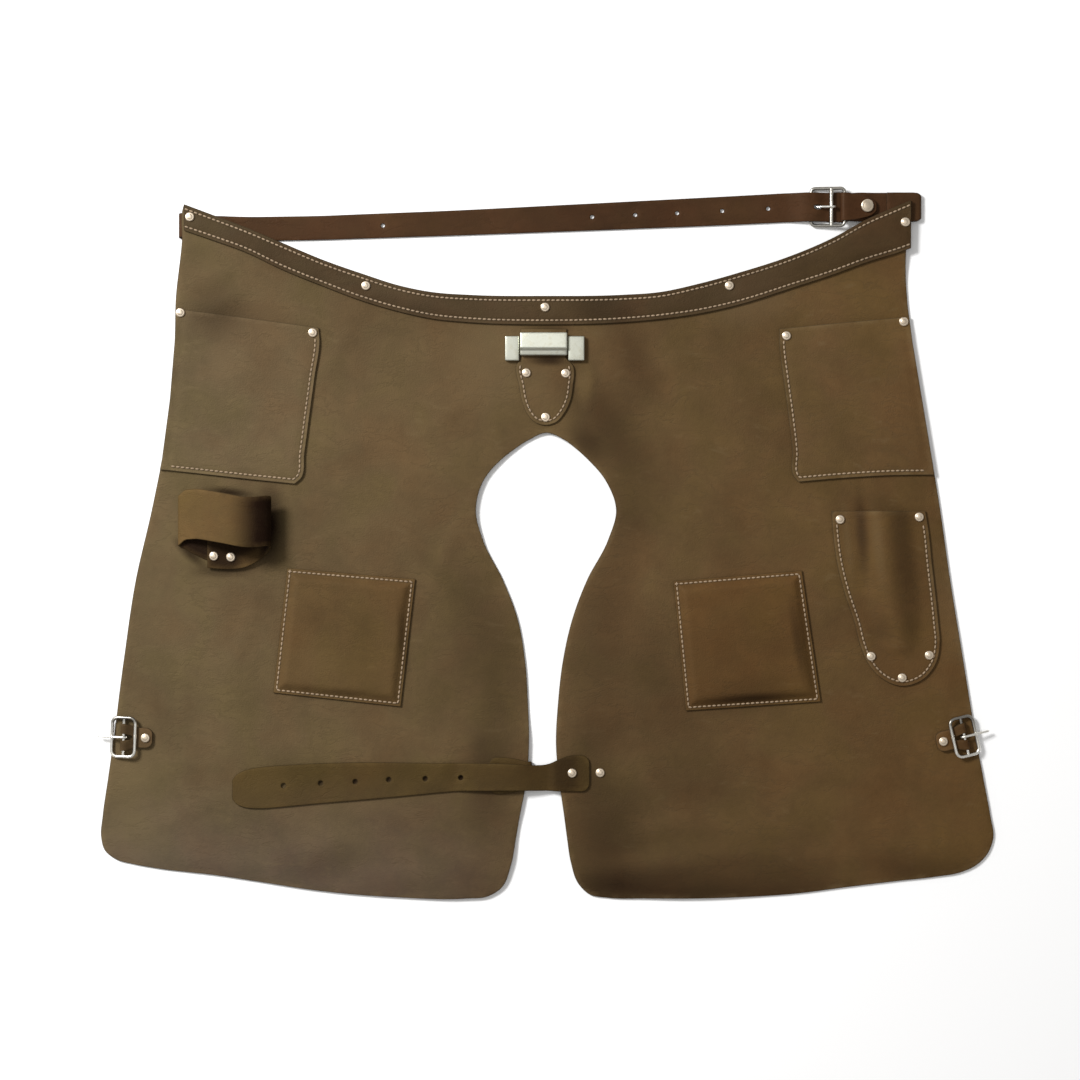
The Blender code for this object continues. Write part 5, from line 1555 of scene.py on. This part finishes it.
class APRON_OT_leg_buckles(bpy.types.Operator):
    """Fix a buckle with its tongue and chape at each leg's outer side"""

    bl_idname = "leather_apron.leg_buckles"
    bl_label = "Leg buckles"

    def execute(self, context):
        for buckle in LEG_BUCKLES:
            place = Matrix.Translation((buckle.x * MM, buckle.y * MM, 0)) @ Matrix.Rotation(
                math.radians(buckle.turn), 4, "Z")
            self.add_chape(buckle, place)
            self.add_frame(buckle, place)
            eye = BAR_WIRE + GAP + TONGUE_WIRE
            shank = [(x, 0.0, z) for x, z in arc(0, 0, eye, 330, 90, 15)]
            shank += [(6.0, 0.0, eye - 0.5), (12.0, 0.0, eye - 1.4), (19.0, 0.0, eye - 2.4),
                      (TONGUE_REACH, 0.0, eye - 3.6)]
            pivot = place @ Matrix.Translation((CENTRE_BAR * MM, 0, CENTRE_BAR_HEIGHT * MM))
            obj = wire("strap_tongue_" + buckle.side, smooth_path(shank, 0.9), TONGUE_WIRE, nickel("nickel_plate"),
                       body=buckle.body, thin_end=True, place=pivot)
            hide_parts("leg_buckle_tongue_" + buckle.side)
        return {"FINISHED"}

    @staticmethod
    def add_chape(buckle, place):
        base, half = ON_HIDE, CHAPE_HIDE / 2
        lower, upper = base + half, base + CHAPE_HIDE + GAP + half
        line = [(-7.0, lower, 9.0), (-5.5, lower, 15.0), (-2.0, lower, 19.5), (6.0, lower, 20.0),
                (13.0, lower + 0.2, 23.0)]
        line += [(x, z, 27.0) for x, z in arc(CENTRE_BAR, CENTRE_BAR_HEIGHT, BAR_WIRE + GAP + half, -90, 90, 9)]
        line += [(14.5, upper + 1.1, 23.0), (10.0, upper, 20.5), (6.0, upper, 20.0), (-2.0, upper, 19.5),
                 (-5.5, upper, 15.0), (-7.0, upper, 9.0)]
        run = Run([(x, 0.0, z, width) for x, z, width in line], 1.0)
        start = run.s_at(13.0, 0.0, 0.45)
        hole = slot(start, float(run.s[-1]) - start, SLOT_WIDTH / 2)
        obj, outline = strap_piece("strap_chape_" + buckle.side, run, CHAPE_HIDE, toned_leather("chape", CHAPE_TONE),
                                   (hole,), step=SMALL_STEP, place=place, shade=chape_shade)
        declare_strap(obj, run, outline, ("leg_chape_" + buckle.side,))

    @staticmethod
    def add_frame(buckle, place):
        def height_at(x):
            return CENTRE_BAR_HEIGHT + FRAME_SLOPE * (x - CENTRE_BAR)

        ring = rounded_frame(INNER_RAIL, OUTER_RAIL, LEG_FRAME_HALF, height_at, LEG_CORNER)
        bar = straight(*((CENTRE_BAR, end, CENTRE_BAR_HEIGHT) for end in (-LEG_FRAME_HALF, LEG_FRAME_HALF)))
        obj = wire("strap_buckle_" + buckle.side, ring, FRAME_WIRE, nickel("nickel_plate"), place=place, bar=bar,
                   bar_radius=BAR_WIRE)
        # Painted shade and dark reflections: a little all over, most on the frame's upper side
        paint_metal_shade(obj, lambda x, y: 0.10 + 0.66 * smooth_step((y - buckle.y - 13) / 4))
        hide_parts("leg_buckle_frame_" + buckle.side)


# What repeats: rivet caps and stitches


def new_tree(name, inputs):
    tree = bpy.data.node_groups.new(name, "GeometryNodeTree")
    tree.interface.new_socket("Geometry", in_out="INPUT", socket_type="NodeSocketGeometry")
    for title, kind, value in inputs:
        socket = tree.interface.new_socket(title, in_out="INPUT", socket_type=kind)
        if value is not None:
            socket.default_value = value
    tree.interface.new_socket("Geometry", in_out="OUTPUT", socket_type="NodeSocketGeometry")
    graph = Graph(tree)
    return tree, graph, graph.add("NodeGroupInput"), graph.add("NodeGroupOutput")


def socket_id(tree, title):
    return next(item.identifier for item in tree.interface.items_tree
                if item.item_type == "SOCKET" and item.in_out == "INPUT" and item.name == title)


def grown(obj, tree, values, name, material):
    """Runs a tree on an object and keeps the result as a plain mesh."""
    modifier = obj.modifiers.new(tree.name, "NODES")
    modifier.node_group = tree
    for title, value in values.items():
        modifier[socket_id(tree, title)] = value
    return piece_from(name, flattened(obj, name), material)


def set_out(graph, result, sockets, material, smooth=False):
    """Puts a shape on points, makes each one real and gives it its material."""
    made = graph.add("GeometryNodeInstanceOnPoints", None, sockets)
    made = graph.add("GeometryNodeRealizeInstances", None, {0: made.outputs[0]})
    if smooth:
        made = graph.add("GeometryNodeSetShadeSmooth", None, {0: made.outputs[0]})
    made = graph.add("GeometryNodeSetMaterial", None, {0: made.outputs[0], "Material": material})
    graph.fill(result, {0: made.outputs[0]})


def rivet_tree(material):
    """Caps turned to each point's own direction: a domed head with a pressed ring and a rolled rim."""
    tree, graph, given, result = new_tree("rivet caps", (("Cap", "NodeSocketObject", None),))
    cap = graph.add("GeometryNodeObjectInfo", None, {"Object": given.outputs["Cap"]})
    up, size = (graph.add("GeometryNodeInputNamedAttribute", {"data_type": "FLOAT_VECTOR"}, {"Name": name})
                for name in ("up", "size"))
    turned = graph.add("FunctionNodeAlignRotationToVector", {"axis": "Z"}, {"Vector": up.outputs[0]})
    set_out(graph, result, {"Points": given.outputs["Geometry"], "Instance": cap.outputs["Geometry"],
                            "Rotation": turned.outputs[0], "Scale": size.outputs[0]}, material)
    return tree


def cap_object(sides):
    """One rivet cap of radius 1 and height 1, lathed from its profile."""
    profile = ((0.0, 1.0), (0.24, 0.985), (0.42, 0.93), (0.54, 0.84), (0.60, 0.76), (0.66, 0.745),
               (0.74, 0.76), (0.85, 0.70), (0.94, 0.52), (0.995, 0.24), (1.0, 0.0))
    mesh = bmesh.new()
    rings = []
    for radius, height in profile[1:]:
        rings.append([mesh.verts.new((radius * math.cos(a), radius * math.sin(a), height))
                      for a in np.linspace(0, 2 * math.pi, sides, endpoint=False)])
    tip, base = mesh.verts.new((0, 0, profile[0][1])), mesh.verts.new((0, 0, 0))
    for k in range(sides):
        j = (k + 1) % sides
        mesh.faces.new((tip, rings[0][k], rings[0][j]))
        mesh.faces.new((base, rings[-1][j], rings[-1][k]))
        for inner, outer in zip(rings, rings[1:]):
            mesh.faces.new((inner[k], outer[k], outer[j], inner[j]))
    data = bpy.data.meshes.new("cap_shape")
    mesh.to_mesh(data)
    mesh.free()
    return in_scene("cap_shape", data)


# A cap is sunk a little into the leather
CAP_SUNK, CAP_FOOT = 0.1, 0.2
UP = (0.0, 0.0, 1.0)


def rivet_stand(rivet):
    """Where a cap sits and which way it faces."""
    x, y, step = np.float64(rivet.x), np.float64(rivet.y), rivet.radius
    if rivet.layers == 0:
        return (x, y, LOOP_RISE[0].z + BELT_HIDE / 2 + GAP), UP
    slope_x = float(lift(x + step, y) - lift(x - step, y)) / (2 * step)
    slope_y = float(lift(x, y + step) - lift(x, y - step)) / (2 * step)
    return (x, y, float(lift(x, y)) + rivet.layers * ON_HIDE - CAP_SUNK), (-slope_x, -slope_y, 1.0)


def rivet_caps():
    """Every cap: its name, its foot, the way it faces, and its radius twice with its height."""
    for rivet in RIVETS:
        place, up = rivet_stand(rivet)
        yield "rivet_" + rivet.name, place, up, (rivet.radius, rivet.radius, rivet.rise + CAP_FOOT)
    top = HIDE + 2 * CHAPE_HIDE + 3 * GAP - CAP_SUNK
    for buckle in LEG_BUCKLES:
        yield ("rivet_chape_" + buckle.side, (buckle.x, buckle.y, top), UP,
               (CHAPE_RIVET_RADIUS, CHAPE_RIVET_RADIUS, CHAPE_RIVET_RISE))
    yield ("rivet_" + BELT_RIVET.name, (BELT_RIVET.x, BELT_RIVET.y, BELT_RIVET_FOOT), (BELT_RIVET_LEAN, 0.0, 1.0),
           (BELT_RIVET.radius, BELT_RIVET.radius, BELT_RIVET.rise))


class APRON_OT_rivets(bpy.types.Operator):
    """Set every rivet cap"""

    bl_idname = "leather_apron.rivets"
    bl_label = "Rivets"

    def execute(self, context):
        names, places, ups, sizes = zip(*rivet_caps())
        data = bpy.data.meshes.new("rivet_spots")
        data.from_pydata((np.array(places) * MM).tolist(), [], [])
        for note, values in (("up", np.array(ups)), ("size", np.array(sizes) * MM)):
            layer = data.attributes.new(note, "FLOAT_VECTOR", "POINT")
            layer.data.foreach_set("vector", values.astype(np.float32).ravel())
        spots, cap = in_scene("rivet_spots", data), cap_object(context.scene.apron_hardware.rivet_sides)
        material = nickel("rivet_nickel", 0.36, (0.80, 0.69, 0.58))
        caps = grown(spots, rivet_tree(material), {"Cap": cap}, "rivet_caps", material)
        bpy.data.objects.remove(cap, do_unlink=True)
        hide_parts(*names)
        return {"FINISHED"}


STITCH_RISE, STITCH_SHARE, STITCH_SWAY, STITCH_SEED = 0.22, 0.93, 0.09, 5


def stitch_tree(material):
    """One plump stitch on each step of a seam, laid along it."""
    inputs = (("Pitch", "NodeSocketFloat", 0.0042), ("Thickness", "NodeSocketFloat", 0.0015))
    tree, graph, given, result = new_tree("stitches", inputs)
    spots = graph.add("GeometryNodeCurveToPoints", {"mode": "LENGTH"},
                      {"Curve": given.outputs["Geometry"], "Length": given.outputs["Pitch"]})
    ball = graph.add("GeometryNodeMeshUVSphere", None, {"Segments": 7, "Rings": 5, "Radius": 0.5})
    turned = graph.add("FunctionNodeAlignRotationToVector", {"axis": "X", "pivot_axis": "Z"},
                       {"Vector": spots.outputs["Tangent"]})
    chance = graph.add("FunctionNodeRandomValue", {"data_type": "FLOAT"}, {
        "Min": -STITCH_SWAY, "Max": STITCH_SWAY, "Seed": STITCH_SEED})
    sway = graph.add("ShaderNodeCombineXYZ", None, {2: [o for o in chance.outputs if o.enabled][0]})
    leaning = graph.add("FunctionNodeRotateRotation", {"rotation_space": "LOCAL"},
                        {0: turned.outputs[0], 1: sway.outputs[0]})
    length = graph.add("ShaderNodeMath", {"operation": "MULTIPLY"}, {0: given.outputs["Pitch"], 1: STITCH_SHARE})
    size = graph.add("ShaderNodeCombineXYZ", None, {
        0: length.outputs[0], 1: given.outputs["Thickness"], 2: given.outputs["Thickness"]})
    set_out(graph, result, {"Points": spots.outputs["Points"], "Instance": ball.outputs["Mesh"],
                            "Rotation": leaning.outputs[0], "Scale": size.outputs[0]}, material, smooth=True)
    return tree


class APRON_OT_stitching(bpy.types.Operator):
    """Sew every seam with waxed thread"""

    bl_idname = "leather_apron.stitching"
    bl_label = "Stitching"

    def execute(self, context):
        settings = context.scene.apron_stitch
        material = thread("waxed_thread")
        tree = stitch_tree(material)
        groups = {
            "waistband_stitches": (waistband_leaf(),),
            "pocket_stitches": (pocket_leaf("left"), pocket_leaf("right")),
            "patch_stitches": (patch_leaf("left"), patch_leaf("right")),
            "sheath_stitches": (sheath_leaf(),),
            "tab_stitches": (tab_leaf(),),
        }
        for name, leaves in groups.items():
            curve = bpy.data.curves.new(name, "CURVE")
            curve.dimensions = "3D"
            for leaf in leaves:
                for seam in leaf.seams:
                    x, y = seam.T
                    z = leaf.surface(x, y) + (leaf.wall(x, y) if leaf.wall else HIDE)
                    add_line(curve, np.column_stack([x, y, z + STITCH_RISE]) * MM)
            values = {"Pitch": settings.pitch, "Thickness": settings.thickness}
            stitches = grown(in_scene(name + "_line", curve), tree, values, name, material)
        return {"FINISHED"}


class APRON_OT_stage(bpy.types.Operator):
    """Set the camera, the pale floor and the soft lights"""

    bl_idname = "leather_apron.stage"
    bl_label = "Stage"

    def execute(self, context):
        scene = context.scene
        settings = scene.apron_stage
        camera = in_scene("camera", bpy.data.cameras.new("camera"))
        camera.data.lens, camera.data.sensor_width = CAMERA_LENS, SENSOR
        camera.location = CAMERA_SPOT
        scene.camera = camera

        data = bpy.data.meshes.new("floor")
        corners = ((-1, -1), (1, -1), (1, 1), (-1, 1))
        data.from_pydata([(x * FLOOR_REACH, y * FLOOR_REACH, FLOOR_HEIGHT) for x, y in corners], [], [(0, 1, 2, 3)])
        floor = in_scene("floor", data)
        material, graph, shader = new_material("pale_floor")
        cloud = graph.noise(graph.spot(), 3.0)
        base = graph.blend(cloud, rgba(settings.floor_colour), rgba(settings.floor_colour, 0.985))
        graph.fill(shader, {"Base Color": base, "Roughness": 0.8})
        data.materials.append(material)

        for name, spot, size, power in (
            ("key", (-1.9, 1.4, 2.2), 0.9, settings.key_power),
            ("top", (0.0, 0.2, 4.4), 3.0, settings.key_power * 0.14),
        ):
            light = bpy.data.lights.new(name, "AREA")
            light.shape, light.size, light.energy = "DISK", size, power
            lamp = in_scene(name, light)
            lamp.location = spot
            lamp.rotation_euler = (-Vector(spot)).to_track_quat("-Z", "Y").to_euler()
        world = bpy.data.worlds.new("studio")
        scene.world = world
        world.use_nodes = True
        sky = Graph(world.node_tree)
        sky.fill(sky.tree.nodes["Background"], {"Color": (1.0, 0.99, 0.975, 1.0), "Strength": settings.fill})
        scene.view_settings.view_transform = "Standard"
        return {"FINISHED"}


OPERATORS = (
    APRON_OT_stage, APRON_OT_panel, APRON_OT_waistband, APRON_OT_pockets, APRON_OT_knee_patches,
    APRON_OT_sheath, APRON_OT_hammer_loop, APRON_OT_magnet, APRON_OT_belt, APRON_OT_waist_buckle,
    APRON_OT_leg_straps, APRON_OT_leg_buckles, APRON_OT_rivets, APRON_OT_stitching,
)
SETTINGS = {"apron_leather": LeatherSettings, "apron_stitch": StitchSettings,
            "apron_hardware": HardwareSettings, "apron_stage": StageSettings}


class APRON_PT_sidebar(bpy.types.Panel):
    """Lists the apron's pieces and settings"""

    bl_idname = "APRON_PT_sidebar"
    bl_label = "Leather apron"
    bl_space_type = "VIEW_3D"
    bl_region_type = "UI"
    bl_category = "Leather apron"

    def draw(self, context):
        for operator in OPERATORS:
            self.layout.operator(operator.bl_idname)
        for name, group in SETTINGS.items():
            box = self.layout.box()
            for setting in group.__annotations__:
                box.prop(getattr(context.scene, name), setting)


def register():
    for group in SETTINGS.values():
        bpy.utils.register_class(group)
    for name, group in SETTINGS.items():
        setattr(bpy.types.Scene, name, PointerProperty(type=group))
    for operator in OPERATORS:
        bpy.utils.register_class(operator)
    bpy.utils.register_class(APRON_PT_sidebar)


def unregister():
    bpy.utils.unregister_class(APRON_PT_sidebar)
    for operator in reversed(OPERATORS):
        bpy.utils.unregister_class(operator)
    for name, group in SETTINGS.items():
        delattr(bpy.types.Scene, name)
        bpy.utils.unregister_class(group)


def main():
    register()
    for operator in OPERATORS:
        group, name = operator.bl_idname.split(".")
        getattr(getattr(bpy.ops, group), name)()


if __name__ == "__main__":
    main()
